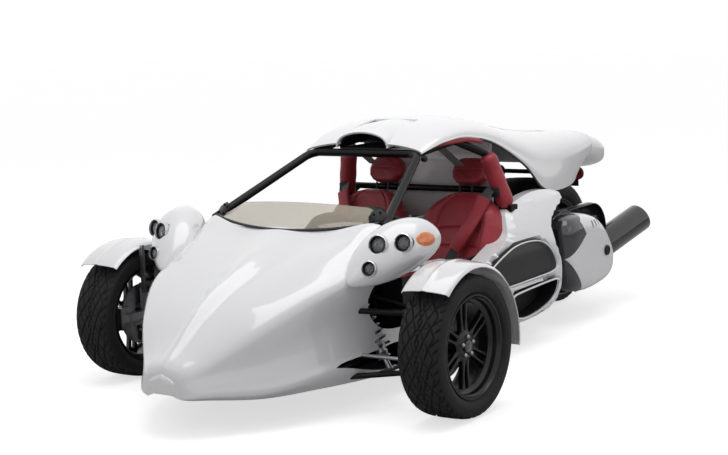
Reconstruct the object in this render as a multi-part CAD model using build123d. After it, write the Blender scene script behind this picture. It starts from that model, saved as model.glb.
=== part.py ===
from build123d import *
import math
import os

# Three-wheeled open car: two steered wheels in front, one driven wheel behind.
# Millimetres. X to the vehicle's left, Y to its rear, Z up, ground at Z 0.
# Sizes along Y are given from the front axle and shifted at the end, so that
# the origin lies on the ground under the middle of the outline.

# ---- overall ----
wheelbase = 2286.0
track = 1776.0
half_track = track / 2
nose_tip_y = -800.0
rear_end_y = wheelbase + 404.0
run_gap = 0.05
seat_gap = 0.3
wall = 8.0

# ---- wheels ----
front_tyre_r = 295.5
front_tyre_w = 205.0
front_bead_r = 203.2
front_rim_w = 178.0
rear_tyre_r = 332.0
rear_tyre_w = 295.0
rear_bead_r = 228.6
rear_rim_w = 267.0
flange_h = 12.0
flange_t = 6.0
barrel_t = 9.0
spoke_pairs = 6
spoke_w = 17.0
spoke_t = 16.0
spoke_spread = 24.0
hub_r = 62.0
hub_l = 60.0
stub_r = 20.0
disc_r = 140.0
disc_t = 10.0
rear_axle_r = 14.0
rear_hub_r = 58.0
rear_disc_r = 120.0

# ---- steering and front suspension ----
kingpin_x = half_track - 123.0
kingpin_r = 8.0
eye_r = 18.0
eye_h = 24.0
upright_t = 34.0
upright_w = 60.0
upper_eye_z = 415.0
lower_eye_z = 176.0
arm_tube_r = 12.0
upper_pivot_x = 380.0
lower_pivot_x = 350.0
upper_pivot_y = 150.0
lower_pivot_y = 215.0
steer_arm_y = -110.0
steer_arm_z = 262.0
rack_y = -118.0
rack_z = 238.0
rack_r = 17.0
tie_rod_r = 8.0
shock_r = 29.0
shock_rings = 8

# ---- fenders ----
fender_gap = 32.0
fender_t = 6.0
fender_in_x = half_track - 114.0
fender_out_x = half_track + 112.0
fender_front_deg = 131.0
fender_rear_deg = -10.0
fender_crown = 14.0

# ---- frame and cage ----
rail_r = 19.0
rail_x = 330.0
rail_z = 149.0
low_rail_r = 15.0
hoop_foot = (470.0, 130.0, 742.0)
hoop_bend = (302.0, 668.0, 990.0)
hoop_bend_r = 70.0
main_foot = (470.0, 1166.0, 694.0)
main_shoulder = (398.0, 1104.0, 946.0)
main_top = (316.0, 950.0, 1024.0)
pad_r = 40.0

# ---- cockpit ----
floor_z = 128.0
tub_floor_z = 168.0
tub_x = 460.0
tub_front_y = 260.0
footwell_x = 305.0
footwell_y = -60.0
footwell_top_z = 405.0
tub_rear_y = 1200.0
tub_top_z = 500.0
seat_x = 245.0
seat_w = 400.0
seat_y = 560.0
seat_z = 176.0
seat_back_deg = 20.0
headrest_c = (245.0, 1168.0, 852.0)

# ---- steering wheel ----
helm_c = (245.0, 505.0, 610.0)
helm_r = 150.0
helm_grip_r = 14.0
helm_tilt_deg = 28.0

# ---- rear ----
swing_pivot_y = wheelbase - 586.0
swing_pivot_z = 345.0
arm_x = 196.0
arm_w = 34.0
case_c = (wheelbase - 361.0, 372.0)
case_len = 640.0
case_h = 420.0
case_in_x = 335.0
case_split_x = 436.0
case_out_x = 560.0
muffler_r = 78.0
muffler_start = (374.0, wheelbase + 16.0, 398.0)
muffler_end = (500.0, wheelbase + 354.0, 458.0)

front_z = front_tyre_r
rear_z = rear_tyre_r
parts = {}


def span(x, y, z):
    """Box between three pairs of limits."""
    size = [b - a for a, b in (x, y, z)]
    mid = [(a + b) / 2 for a, b in (x, y, z)]
    return Pos(*mid) * Box(*size)


def rod(a, b, r):
    """Round bar from point a to point b."""
    a, b = Vector(*a), Vector(*b)
    plane = Plane(origin=a, z_dir=(b - a).normalized())
    return extrude(plane * Circle(r), (b - a).length)


def bent_tube(points, r, bend):
    """Round tube along straight runs joined by arcs."""
    path = FilletPolyline(*points, radius=bend)
    start = Plane(origin=path @ 0, z_dir=path % 0)
    return sweep(start * Circle(r), path=path)


def both(shape):
    """The left piece and its mirror image."""
    return [shape, mirror(shape, Plane.YZ)]


def join(shapes):
    whole = shapes[0]
    for item in shapes[1:]:
        whole = whole + item
    return whole


def pair(shape):
    """A node that holds one left and one right piece."""
    return Compound(children=[s for side in both(shape) for s in side.solids()])


# ---- outer skins: sections of lines and arcs, lofted ----
# columns: y, foot half-width, foot z, edge half-width, edge z, top z
nose_rows = [
    (-800.0, 46.0, 206.0, 60.0, 232.0, 258.0),
    (-700.0, 112.0, 150.0, 150.0, 292.0, 356.0),
    (-520.0, 250.0, 128.0, 318.0, 424.0, 486.0),
    (-300.0, 372.0, 128.0, 462.0, 532.0, 596.0),
    (-40.0, 470.0, 128.0, 520.0, 566.0, 702.0),
    (150.0, 492.0, 128.0, 530.0, 560.0, 774.0),
    (640.0, 500.0, 128.0, 546.0, 508.0, 700.0),
]
# the same columns, with the open lower edge as the foot
roof_rows = [
    (655.0, 326.0, 1012.0, 330.0, 1018.0, 1040.0),
    (800.0, 350.0, 1030.0, 352.0, 1040.0, 1106.0),
    (985.0, 366.0, 1036.0, 366.0, 1048.0, 1125.0),
    (1200.0, 382.0, 986.0, 380.0, 1000.0, 1116.0),
    (1450.0, 402.0, 856.0, 396.0, 900.0, 1064.0),
    (1590.0, 414.0, 732.0, 400.0, 850.0, 1032.0),
    (wheelbase - 486.0, 406.0, 700.0, 398.0, 820.0, 992.0),
    (wheelbase - 226.0, 352.0, 686.0, 388.0, 850.0, 958.0),
    (wheelbase - 1.0, 290.0, 680.0, 362.0, 870.0, 936.0),
]
# columns: y, half-width, middle z, half-height
lobe_rows = [
    (wheelbase - 0.7, 268.0, 822.0, 76.0),
    (wheelbase + 114.0, 286.0, 816.0, 76.0),
    (wheelbase + 234.0, 262.0, 802.0, 66.0),
    (wheelbase + 314.0, 170.0, 792.0, 36.0),
]
# columns: y, middle x, middle z, half-width, half-height
pod_rows = [
    (-262.0, 508.0, 606.0, 26.0, 24.0),
    (-150.0, 548.0, 640.0, 104.0, 82.0),
    (0.0, 596.0, 682.0, 132.0, 112.0),
    (160.0, 628.0, 700.0, 120.0, 102.0),
    (290.0, 640.0, 690.0, 80.0, 66.0),
    (346.0, 642.0, 684.0, 30.0, 26.0),
]


def skin_face(row, inset):
    y, foot_w, foot_z, edge_w, edge_z, top_z = row
    foot_w, edge_w = foot_w - inset, edge_w - inset
    foot_z = foot_z - inset * 1.5
    edge_z, top_z = edge_z - inset * 0.6, top_z - inset
    right_foot, left_foot = (foot_w, y, foot_z), (-foot_w, y, foot_z)
    right_edge, left_edge = (edge_w, y, edge_z), (-edge_w, y, edge_z)
    outline = [
        Line(left_foot, right_foot),
        Line(right_foot, right_edge),
        ThreePointArc(right_edge, (0, y, top_z), left_edge),
        Line(left_edge, left_foot),
    ]
    return Face(Wire(outline))


def skin(rows, inset=0.0, first_y=0.0, last_y=0.0):
    """Loft of a table of sections, drawn in by inset."""
    rows = [list(row) for row in rows]
    rows[0][0] += first_y
    rows[-1][0] += last_y
    return loft([skin_face(row, inset) for row in rows], ruled=True)


def oval_face(y, x, z, half_w, half_h):
    plane = Plane(origin=(x, y, z), x_dir=(1, 0, 0), z_dir=(0, -1, 0))
    return plane * Ellipse(half_w, half_h)


def ovals(rows, inset=0.0):
    faces = [oval_face(y, x, z, w - inset, h - inset) for y, x, z, w, h in rows]
    return loft([f.face() for f in faces])


# ---- nose shell: hood, flanks beside the cockpit, open underneath ----
sill_x = 470.0
screen_base_y = 42.0
nose_outer = skin(nose_rows)
nose_inner = skin(nose_rows, wall, wall * 2, wall)
below = span((-900, 900), (-1000, 900), (-200, floor_z + 1.0))
cockpit_cut = span((-sill_x - 60, sill_x + 60), (screen_base_y, 900), (540, 1200))
nose = nose_outer - nose_inner - below
screen_line = Pos(0, 150, 0) * extrude(Plane.XY * Ellipse(sill_x + 12, 110), 1500)
nose = nose - cockpit_cut - screen_line
arch_cut = span((380, 700), (-10, 440), (290, 490))
nose = nose - arch_cut - mirror(arch_cut, Plane.YZ)

# ---- lamp pods on the nose's shoulders ----
lamp_r = 42.0
small_lamp_r = 30.0
lamp_depth = 60.0
# columns: x, y, z, radius
lamp_rows = [
    (560.0, -68.0, 690.0, lamp_r),
    (652.0, -36.0, 706.0, lamp_r * 0.95),
    (566.0, -134.0, 612.0, small_lamp_r),
]
pod_outer = ovals(pod_rows)
neck_top = (584.0, -30.0, 668.0)
neck_foot = (440.0, -50.0, 540.0)
pod = (pod_outer + rod(neck_top, neck_foot, 62)) - nose_outer


def lamp_axis(x, y, z):
    return Plane(origin=(x, y, z), z_dir=Vector(0.16, -0.96, 0.22).normalized())


lamps = []
for x, y, z, r in lamp_rows:
    plane = lamp_axis(x, y, z)
    cup = plane * Pos(0, 0, -lamp_depth) * Cylinder(r + seat_gap, 400, align=(
        Align.CENTER, Align.CENTER, Align.MIN))
    pod = pod - cup
    bowl = [(0, 0), (r, 0), (r, lamp_depth - 14), (r * 0.8, lamp_depth - 5),
            (0, lamp_depth)]
    face = make_face(Plane.XZ * Polyline(*bowl, close=True))
    lens = plane * Pos(0, 0, -lamp_depth) * revolve(face, Axis.Z)
    lamps.append(lens)
marker_c = (704.0, 132.0, 700.0)
marker_plane = Plane(origin=marker_c, z_dir=Vector(0.80, -0.55, 0.24).normalized())
marker = marker_plane * Pos(0, 0, -16) * extrude(Ellipse(38, 22), 30)
marker_cup = marker_plane * Pos(0, 0, -16) * extrude(Ellipse(38 + seat_gap, 22 + seat_gap), 200)
pod = pod - marker_cup
marker = marker & pod_outer
parts["nose_shell"] = nose
parts["lamp_pods"] = pair(pod)
parts["headlamps"] = Compound(children=[s for lamp in lamps for side in both(lamp)
                                        for s in side.solids()])
parts["marker_lamps"] = pair(marker)

# ---- roof, buttresses and tail: one skin, open below ----
scoop_w = 132.0
scoop_h = 70.0
scoop_z = 1020.0
scoop_len = 520.0
roof_outer = skin(roof_rows)
roof_inner = skin(roof_rows, wall, -1.0, -wall)
roof = roof_outer - roof_inner
# columns: y, half-width, base z, height
scoop_rows = [
    (655.0, scoop_w + 14, 1014.0, scoop_h + 8),
    (820.0, scoop_w + 34, 1030.0, scoop_h + 14),
    (1000.0, scoop_w + 50, 1060.0, 62.0),
]


def arch_face(y, half_w, base_z, height):
    left, right, top = (-half_w, y, base_z), (half_w, y, base_z), (0, y, base_z + height)
    return Face(Wire([Line(left, right), ThreePointArc(right, top, left)]))


hump = loft([arch_face(*row) for row in scoop_rows])
mouth = loft([arch_face(645.0, scoop_w, scoop_z, scoop_h),
              arch_face(900.0, scoop_w * 0.9, scoop_z + 34, scoop_h * 0.8)])
roof = (roof + (hump - roof_inner)) - mouth
roof = max(roof.solids(), key=lambda s: s.volume)
parts["roof_shell"] = roof

lobe_faces = [Plane(origin=(0, y, z), x_dir=(1, 0, 0), z_dir=(0, -1, 0)) * RectangleRounded(
    w * 2, h * 2, h * 0.95) for y, w, z, h in lobe_rows]
parts["tail_lobe"] = loft([f.face() for f in lobe_faces])

# ---- side pods: from the sill up to the tail, with an inset panel and a duct ----
pod_in_x = 470.0
pod_out_x = 590.0
pod_front_y = 650.0
pod_path = [(pod_front_y, 140.0), (pod_front_y, 520.0), (760.0, 576.0), (1020.0, 576.0),
            (1110.0, 664.0), (1420.0, 726.0), (1590.0, 718.0), (1770.0, 680.0),
            (1690.0, 596.0), (1520.0, 482.0), (1556.0, 360.0), (1520.0, 196.0), (1380.0, 134.0)]


# columns: z, inner x, outer x
pod_taper = [(130.0, 470.0, 548.0), (300.0, 470.0, 592.0), (500.0, 470.0, 586.0),
             (750.0, 400.0, 466.0)]


def pod_limits(inset_in, inset_out):
    outline = [(row[1] + inset_in, row[0]) for row in pod_taper]
    outline += [(row[2] - inset_out, row[0]) for row in reversed(pod_taper)]
    plane = Plane(origin=(0, 600, 0), x_dir=(1, 0, 0), z_dir=(0, -1, 0))
    face = make_face(plane * Polyline(*outline, close=True))
    return extrude(face, 1200, dir=(0, 1, 0))


insert_path = [(776.0, 556.0), (1020.0, 556.0), (1150.0, 538.0), (1290.0, 470.0),
               (1322.0, 380.0), (1180.0, 372.0), (935.0, 368.0)]
duct_path = [(985.0, 326.0), (1318.0, 320.0), (1318.0, 262.0), (1220.0, 190.0), (1040.0, 190.0)]


def limits_between(depth_a, depth_b):
    """Layer of the pod's flank between two depths under its outer face."""
    return pod_limits(-80.0, depth_a) - pod_limits(-90.0, depth_b)


def side_face(points, grow):
    plane = Plane(origin=(0, 0, 0), x_dir=(0, 1, 0), z_dir=(1, 0, 0))
    face = make_face(plane * Polyline(*points, close=True))
    return offset(face, amount=grow, kind=Kind.INTERSECTION) if grow else face


def side_slab(points, grow, x0, x1):
    return Pos(x0, 0, 0) * extrude(side_face(points, grow), x1 - x0, dir=(1, 0, 0))


pod_block = side_slab(pod_path, 0, 360, 640) & pod_limits(0, 0)
pod_hollow = side_slab(pod_path, -wall, 300, 640) & pod_limits(-80, wall)
side_pod = pod_block - pod_hollow
side_pod = side_pod - side_slab(insert_path, 0, 480, 700) - side_slab(duct_path, 0, 480, 700)
parts["side_pods"] = pair(side_pod)
insert = side_slab(insert_path, 9, 480, 700) & limits_between(wall + seat_gap, wall + 6)
parts["pod_inserts"] = pair(insert)
duct_back_x = 480.0
duct_tube = side_slab(duct_path, 5, duct_back_x, 700) - side_slab(duct_path, 0, duct_back_x + 4, 700)
duct = duct_tube & pod_limits(-80, wall + seat_gap)
parts["pod_ducts"] = pair(duct)

# ---- tub, floor and dash ----
sheet = 6.0


def well(x, y, z, grow, lid):
    return span((-x + grow, x - grow), (y[0] + grow, y[1] - grow), (z[0] + grow, z[1] + lid))


tub_limits = [(tub_x, (tub_front_y, tub_rear_y), (tub_floor_z, tub_top_z)),
              (footwell_x, (footwell_y, tub_front_y + 20), (tub_floor_z, footwell_top_z))]
tub = well(*tub_limits[0], 0, 0) + well(*tub_limits[1], 0, 0)
tub = tub - well(*tub_limits[0], sheet, 300)
reach = tub_limits[1]
tub = tub - well(reach[0], (reach[1][0], reach[1][1] + 40), reach[2], sheet, 300)
parts["cockpit_tub"] = tub
pan_z = rail_z - low_rail_r - seat_gap - 3
pan = loft([
    Plane(origin=(0, -560, pan_z), z_dir=(0, -1, 0), x_dir=(1, 0, 0)) * Rectangle(300, 6),
    Plane(origin=(0, 60, pan_z), z_dir=(0, -1, 0), x_dir=(1, 0, 0)) * Rectangle(900, 6),
    Plane(origin=(0, 1600, pan_z), z_dir=(0, -1, 0), x_dir=(1, 0, 0)) * Rectangle(860, 6),
], ruled=True)
parts["belly_pan"] = pan
dash_profile = [(120.0, 560.0), (150.0, 742.0), (236.0, 768.0), (300.0, 740.0), (262.0, 640.0),
                (190.0, 560.0)]
dash_x = 362.0
dash = Pos(-dash_x, 0, 0) * extrude(side_face(dash_profile, 0), dash_x * 2, dir=(1, 0, 0))
for x in (-seat_x, seat_x):
    cowl = Plane(origin=(x, 216, 738), z_dir=(0, 1, 0.05)) * Cylinder(74, 150, align=(
        Align.CENTER, Align.CENTER, Align.MIN))
    dash = dash + cowl
bar_z = 600.0
leg_foot = (rail_x, 190.0, 430.0)
bar_share = (hoop_foot[2] - bar_z) / (hoop_foot[2] - leg_foot[2])
bar_x = hoop_foot[0] - (hoop_foot[0] - leg_foot[0]) * bar_share
bar_y = hoop_foot[1] + (leg_foot[1] - hoop_foot[1]) * bar_share
dash_hole = rod((-bar_x, bar_y, bar_z), (bar_x, bar_y, bar_z), 12 + seat_gap)
parts["dashboard"] = dash - nose - dash_hole

# ---- screen: a bent strip leaning back from the hood ----
screen_t = 5.0
# columns: z, front y on the middle line, radius, half-width
screen_rows = [(690.0, -10.0, 860.0, 436.0), (824.0, 168.0, 940.0, 410.0)]


def band(z, y, r, half_w):
    ring = Pos(0, y + r, z) * (Circle(r) - Circle(r - screen_t))
    keep = Pos(0, y, z) * Rectangle(half_w * 2, 420)
    return ring & keep


screen = loft([band(*row).face() for row in screen_rows], ruled=True)
screen_seat = Pos(0, 0, seat_gap) * nose_outer
parts["windscreen"] = screen - screen_seat

# ---- seats, headrests and pads ----
seat_foot_z = tub_floor_z + sheet + seat_gap
seat_profile = [(seat_y - 60, seat_foot_z), (seat_y - 60, seat_z + 130), (seat_y, seat_z + 160),
                (seat_y + 330, seat_z + 110), (seat_y + 420, seat_z + 250), (1122, 744),
                (1170, 764), (1186, 720), (seat_y + 470, seat_foot_z)]
cushion = Pos(seat_x - seat_w / 2, 0, 0) * extrude(side_face(seat_profile, 0), seat_w, dir=(1, 0, 0))
seat_channel = [(seat_y - 100, seat_z + 190), (seat_y, seat_z + 128), (seat_y + 340, seat_z + 84),
                (1128, 724), (1080, 800)]
dish = Pos(seat_x - 135, 0, 0) * extrude(side_face(seat_channel, 0), 270, dir=(1, 0, 0))
seat_front = [(-200, 100), (200, 100), (200, 540), (150, 730), (90, 772), (-90, 772), (-150, 730),
              (-200, 540)]
front_plane = Plane(origin=(seat_x, 400, 0), x_dir=(1, 0, 0), z_dir=(0, -1, 0))
seat_limits = extrude(make_face(front_plane * Polyline(*seat_front, close=True)), 900, dir=(0, 1, 0))
seat = (cushion - dish) & seat_limits
parts["seats"] = pair(seat)
hx, hy, hz = headrest_c
rest = Plane(origin=(hx, hy, hz), z_dir=(0, -1, 0.2)) * extrude(Ellipse(88, 60), 64, both=False)
rest = Pos(0, 30, 0) * rest
parts["headrests"] = pair(rest)
posts = [rod((hx + dx, hy - 16, 746), (hx + dx, hy, hz - 40), 6) for dx in (-34, 34)]
post_left = Compound(children=[s for p in posts for s in (p - rest - seat).solids()])
parts["headrest_posts"] = Compound(children=[s for side in both(post_left) for s in side.solids()])

# ---- cage: screen hoop, side tubes, main hoop legs ----
def flip(p):
    return (-p[0], p[1], p[2])


screen_hoop = bent_tube([hoop_foot, hoop_bend, flip(hoop_bend), flip(hoop_foot)], rail_r, hoop_bend_r)
side_tube = bent_tube([main_foot, main_shoulder, main_top, (hoop_bend[0] - 20, hoop_bend[1],
                                                           hoop_bend[2])], rail_r, 60.0)
top_cross = rod(main_top, flip(main_top), rail_r - 3)
belt_cross_z = 760.0
belt_cross = rod((452.0, 1212.0, belt_cross_z), (-452.0, 1212.0, belt_cross_z), rail_r - 3)
brace = rod((main_foot[0] - 12, main_foot[1] + 4, 716), (430, 1216, belt_cross_z), rail_r - 4)
feet = join(both(span((main_foot[0] - 34, main_foot[0] + 34), (main_foot[1] - 30, main_foot[1] + 30),
                      (main_foot[2] - 40, main_foot[2] + 6))))
feet = feet - pod_block - mirror(pod_block, Plane.YZ)
cage = screen_hoop + side_tube + mirror(side_tube, Plane.YZ) + top_cross + belt_cross
cage = cage + brace + mirror(brace, Plane.YZ) + feet
props = [rod((x, main_top[1], main_top[2]), (x, main_top[1], 1200), 9) & roof_inner for x in (-240, 240)]
cage = join([cage] + props)
pad_axis_a = Vector(*main_foot) + (Vector(*main_shoulder) - Vector(*main_foot)) * 0.12
pad_axis_b = Vector(*main_foot) + (Vector(*main_shoulder) - Vector(*main_foot)) * 0.86
pad = rod(pad_axis_a, pad_axis_b, pad_r) - rod(pad_axis_a, pad_axis_b, rail_r + seat_gap)
parts["cage_pads"] = pair(pad - brace)

# ---- lower frame ----
rail_y0 = -330.0
rail_y1 = wheelbase - 646.0
rails = [rod((side * rail_x, rail_y0, rail_z), (side * rail_x, rail_y1, rail_z), low_rail_r)
         for side in (-1, 1)]
mount_ys = (1300.0, 1560.0)
cross_ys = (60.0, mount_ys[0], mount_ys[1], rail_y1 - 10)
crosses = [rod((-rail_x, y, rail_z), (rail_x, y, rail_z), low_rail_r - 2) for y in cross_ys]
front_cross = rod((-600, rail_y0 + 10, rail_z), (600, rail_y0 + 10, rail_z), low_rail_r - 2) & nose_inner
crosses.append(front_cross)
engine_z = 182.0
for y in mount_ys:
    for x in (-140, 140):
        crosses.append(span((x - 20, x + 20), (y - 15, y + 15), (rail_z, engine_z - seat_gap)))
rack_post_x = 150.0
crosses.append(rod((-rail_x, rack_y, rail_z), (rail_x, rack_y, rail_z), low_rail_r - 3))
for x in (-rack_post_x, rack_post_x):
    post = span((x - 10, x + 10), (rack_y - 8, rack_y + 8), (rail_z, rack_z))
    crosses.append(post - rod((-300, rack_y, rack_z), (300, rack_y, rack_z), rack_r + seat_gap))
outrigger_ys = (700.0, 1150.0)
for y in outrigger_ys:
    for side in (-1, 1):
        reach_x = sorted((side * rail_x, side * (tub_x + 10 - seat_gap)))
        crosses.append(span(reach_x, (y - 12, y + 12), (rail_z - 10, tub_floor_z - seat_gap)))
top_rail_z = 430.0
towers = []
for side in (-1, 1):
    for y in (-lower_pivot_y - 20, lower_pivot_y + 20):
        towers.append(rod((side * rail_x, y, rail_z), (side * rail_x, y, top_rail_z), 12))
    towers.append(rod((side * rail_x, -lower_pivot_y - 34, top_rail_z),
                      (side * rail_x, lower_pivot_y + 34, top_rail_z), 14))
    towers.append(rod((side * 235, rail_y1 - 10, rail_z), (side * 235, rail_y1 + 50, 560), 15))
for side in (-1, 1):
    towers.append(span(sorted((side * (rail_x - 10), side * (rail_x + 44))), (-20, 20),
                       (top_rail_z, top_rail_z + 75)))
    plate_x = sorted((side * 222, side * 248))
    towers.append(span(plate_x, (rail_y1 + 6, swing_pivot_y + 40), (rear_z - 32, rear_z + 32)))
    rack_end = (side * (case_in_x - seat_gap), rail_y1 + 37, 470)
    towers.append(rod((side * 235, rail_y1 + 37, 470), rack_end, 10))
tower_tops = [rod((-rail_x, y, top_rail_z), (rail_x, y, top_rail_z), 11)
              for y in (-lower_pivot_y - 20,)]
rear_cross = [rod((-235, rail_y1 + 38, 480), (235, rail_y1 + 38, 480), 13)]
shock_top = (0.0, rail_y1 + 72, 561.0)
rear_cross.append(rod((-233, shock_top[1], shock_top[2]), (233, shock_top[1], shock_top[2]), 11))
subframe = [rod((side * 235, rail_y1 + 48, 552), (side * 190, wheelbase - 86, 728), 13) for side in (-1, 1)]
subframe.append(rod((-190, wheelbase - 90, 727), (190, wheelbase - 90, 727), 12))
frame = join(rails + crosses + towers + tower_tops + rear_cross + subframe)
parts["chassis_frame"] = frame
legs = [leg - frame for leg in both(rod(hoop_foot, leg_foot, 13))]
cage = join([cage] + legs + [rod((-bar_x, bar_y, bar_z), (bar_x, bar_y, bar_z), 12)])
parts["roll_cage"] = cage

# ---- engine block and the cover over it ----
engine_x = 230.0
engine = span((-engine_x, engine_x), (1262, 1600), (engine_z, 600))
parts["engine"] = fillet(engine.edges().filter_by(Axis.Y), 40)
cover_profile = [(1262.0, 610.0), (1252.0, 900.0), (1262.0, 1000.0), (1270.0, 1000.0), (1260.0, 900.0),
                 (1270.0, 610.0)]
cover = Pos(-330, 0, 0) * extrude(side_face(cover_profile, 0), 660, dir=(1, 0, 0))
parts["bulkhead"] = cover - belt_cross - cage

# ---- swing arm, rear wheel carrier ----
arm_h = 62.0
arms = [span((side * arm_x - arm_w / 2, side * arm_x + arm_w / 2), (swing_pivot_y, wheelbase + 40),
             (rear_z - arm_h / 2, rear_z + arm_h / 2)) for side in (-1, 1)]
yoke = span((-arm_x, arm_x), (swing_pivot_y + 20, swing_pivot_y + 90), (rear_z - 30, rear_z + 30))
pivot_half = 222 - seat_gap
pivot = rod((-pivot_half, swing_pivot_y + 16, rear_z), (pivot_half, swing_pivot_y + 16, rear_z), 22)
rear_axle = rod((-arm_x - 30, wheelbase, rear_z), (arm_x + 30, wheelbase, rear_z), rear_axle_r)
swing = join(arms + [yoke, pivot, rear_axle])
parts["swing_arm"] = swing


def coil_over(a, b, r, rings):
    """Spring and damper between two eyes, with a ribbed spring outline."""
    a, b = Vector(*a), Vector(*b)
    length = (b - a).length
    lo, hi = length * 0.16, length * 0.78
    step = (hi - lo) / rings
    pts = [(0, 0), (12, 0), (12, lo - 6), (r, lo - 6), (r, lo)]
    for i in range(rings):
        pts += [(r * 0.74, lo + step * (i + 0.2)), (r, lo + step * (i + 0.6))]
    pts += [(r, hi + 6), (15, hi + 6), (15, length), (0, length)]
    face = make_face(Plane.XZ * Polyline(*pts, close=True))
    return Plane(origin=a, z_dir=(b - a).normalized()) * revolve(face, Axis.Z)


rear_shock = coil_over((0, swing_pivot_y + 58, rear_z + 26), shock_top, 34, 7)
parts["rear_shock"] = rear_shock - swing - frame


# ---- wheels ----
def tyre_ring(r, w, bead_r, rim_w):
    """Cross section of the tyre as (across, radius) points with round shoulders."""
    half, seat = w / 2, rim_w / 2 - flange_t - seat_gap
    rise = r - bead_r
    right = [(seat, bead_r + seat_gap), (seat, bead_r + flange_h + 3), (half - 3, bead_r + rise * 0.34),
             (half, bead_r + rise * 0.5), (half - 3, r - rise * 0.24), (half - 13, r - 8),
             (half - 34, r - 2), (half * 0.45, r)]
    left = [(-x, y) for x, y in reversed(right)]
    return right + left


def rim_ring(bead_r, rim_w):
    half = rim_w / 2
    right = [(half, bead_r - barrel_t), (half, bead_r + flange_h), (half - flange_t, bead_r + flange_h),
             (half - flange_t, bead_r), (half - 52, bead_r), (half - 62, bead_r - 6)]
    left = [(-x, y) for x, y in reversed(right)]
    inner = [(-half + 62, bead_r - barrel_t - 6), (half - 62, bead_r - barrel_t - 6)]
    return right + left + inner


def spokes(bead_r, face_x, hub):
    """Pairs of twin spokes from the hub out to the barrel, swept out at the middle."""
    bars = []
    for i in range(spoke_pairs):
        for side in (-1, 1):
            angle = 360.0 / spoke_pairs * i
            foot = hub - 14
            tip = bead_r - barrel_t - 3
            lane = [(side * (spoke_spread * 0.5), foot), (side * spoke_spread, tip)]
            (x0, z0), (x1, z1) = lane
            half = spoke_w / 2
            bar = make_face(Polyline((x0 - half, z0), (x0 + half, z0), (x1 + half, z1),
                                     (x1 - half, z1), close=True))
            solid = extrude(bar, spoke_t, dir=(0, 0, 1))
            bars.append(Rot(0, 0, angle) * solid)
    star = bars[0]
    for bar in bars[1:]:
        star = star + bar
    return Pos(face_x, 0, 0) * (Rot(0, 90, 0) * star)


def rim_solid(bead_r, rim_w, hub, bore_r, face_x, hub_in_x):
    ring = revolve(make_face(Polyline(*rim_ring(bead_r, rim_w), close=True)), Axis.X)
    disc = [(hub_in_x, bore_r), (hub_in_x, hub), (face_x + spoke_t, hub), (face_x + spoke_t, bore_r)]
    core = revolve(make_face(Polyline(*disc, close=True)), Axis.X)
    return ring + core + spokes(bead_r, face_x, hub)


def at_wheel(shape, x, y, z):
    return Pos(x, y, z) * shape


front_face_x = 44.0
hub_in_x = -20.0
disc_x = half_track - 50.0
front_rim = rim_solid(front_bead_r, front_rim_w, hub_r, stub_r + run_gap, front_face_x, hub_in_x)
cap = revolve(make_face(Polyline((front_face_x + spoke_t, 0), (front_face_x + spoke_t, 31),
                                 (front_face_x + spoke_t + 7, 26), (front_face_x + spoke_t + 7, 0),
                                 close=True)), Axis.X)
front_rim = front_rim + cap
front_tyre = revolve(make_face(Polyline(*tyre_ring(front_tyre_r, front_tyre_w, front_bead_r, front_rim_w),
                                        close=True)), Axis.X)
hat = [(hub_in_x, 30), (hub_in_x, 66), (disc_x - half_track + disc_t / 2, 66),
       (disc_x - half_track + disc_t / 2, disc_r), (disc_x - half_track - disc_t / 2, disc_r),
       (disc_x - half_track - disc_t / 2, 58), (hub_in_x - 8, 58), (hub_in_x - 8, 30)]
front_disc = revolve(make_face(Polyline(*hat, close=True)), Axis.X) - front_rim
for side, word in ((1, "left"), (-1, "right")):
    for label, shape in (("front_rim", front_rim), ("front_tyre", front_tyre), ("front_disc", front_disc)):
        piece = at_wheel(shape, half_track, 0, front_z)
        if side < 0:
            piece = mirror(piece, Plane.YZ)
        parts[f"{label}_{word}"] = piece

rear_hub_half = 120.0
rear_rim = rim_solid(rear_bead_r, rear_rim_w, rear_hub_r, rear_axle_r + run_gap, 84.0, -rear_hub_half)
rear_bore_r = rear_axle_r + run_gap
rear_rim = rear_rim + revolve(make_face(Polyline(
    (100.0, rear_bore_r), (100.0, 40.0), (rear_hub_half, 40.0), (rear_hub_half, rear_bore_r),
    close=True)), Axis.X)
rear_tyre = revolve(make_face(Polyline(*tyre_ring(rear_tyre_r, rear_tyre_w, rear_bead_r, rear_rim_w),
                                       close=True)), Axis.X)
parts["rear_rim"] = at_wheel(rear_rim, 0, wheelbase, rear_z)
parts["rear_tyre"] = at_wheel(rear_tyre, 0, wheelbase, rear_z)

# ---- uprights, with stub axle, caliper, steering arm and fender stays ----
pin_low, pin_high = lower_eye_z - eye_h / 2 - 6, upper_eye_z + eye_h / 2 + 6
ear = 9.0
upright_x0 = kingpin_x + eye_r + 6
block = span((upright_x0, upright_x0 + upright_t - 8), (-upright_w / 2, upright_w / 2),
             (lower_eye_z - 10, upper_eye_z + 10))
stub = rod((upright_x0 + 4, 0, front_z), (half_track + front_face_x - 4, 0, front_z), stub_r)
upright = block + stub
for eye_z in (lower_eye_z, upper_eye_z):
    for end in (-1, 1):
        z0 = eye_z + end * (eye_h / 2 + 1)
        z1 = z0 + end * ear
        upright = upright + span((kingpin_x - 14, upright_x0 + 8), (-16, 16), (min(z0, z1), max(z0, z1)))
    upright = upright + rod((kingpin_x, 0, eye_z - eye_h / 2 - 6), (kingpin_x, 0, eye_z + eye_h / 2 + 6),
                            kingpin_r)
steer_arm = span((upright_x0 - 16, upright_x0 + 6), (steer_arm_y - 12, -20),
                 (steer_arm_z, steer_arm_z + 14))
caliper_y = (-disc_r - 10, -disc_r + 46)
caliper = span((disc_x - 22, disc_x + 22), caliper_y, (front_z - 52, front_z + 52))
caliper = caliper - span((disc_x - disc_t / 2 - 3, disc_x + disc_t / 2 + 3), (-400, 0), (0, 600))
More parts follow.
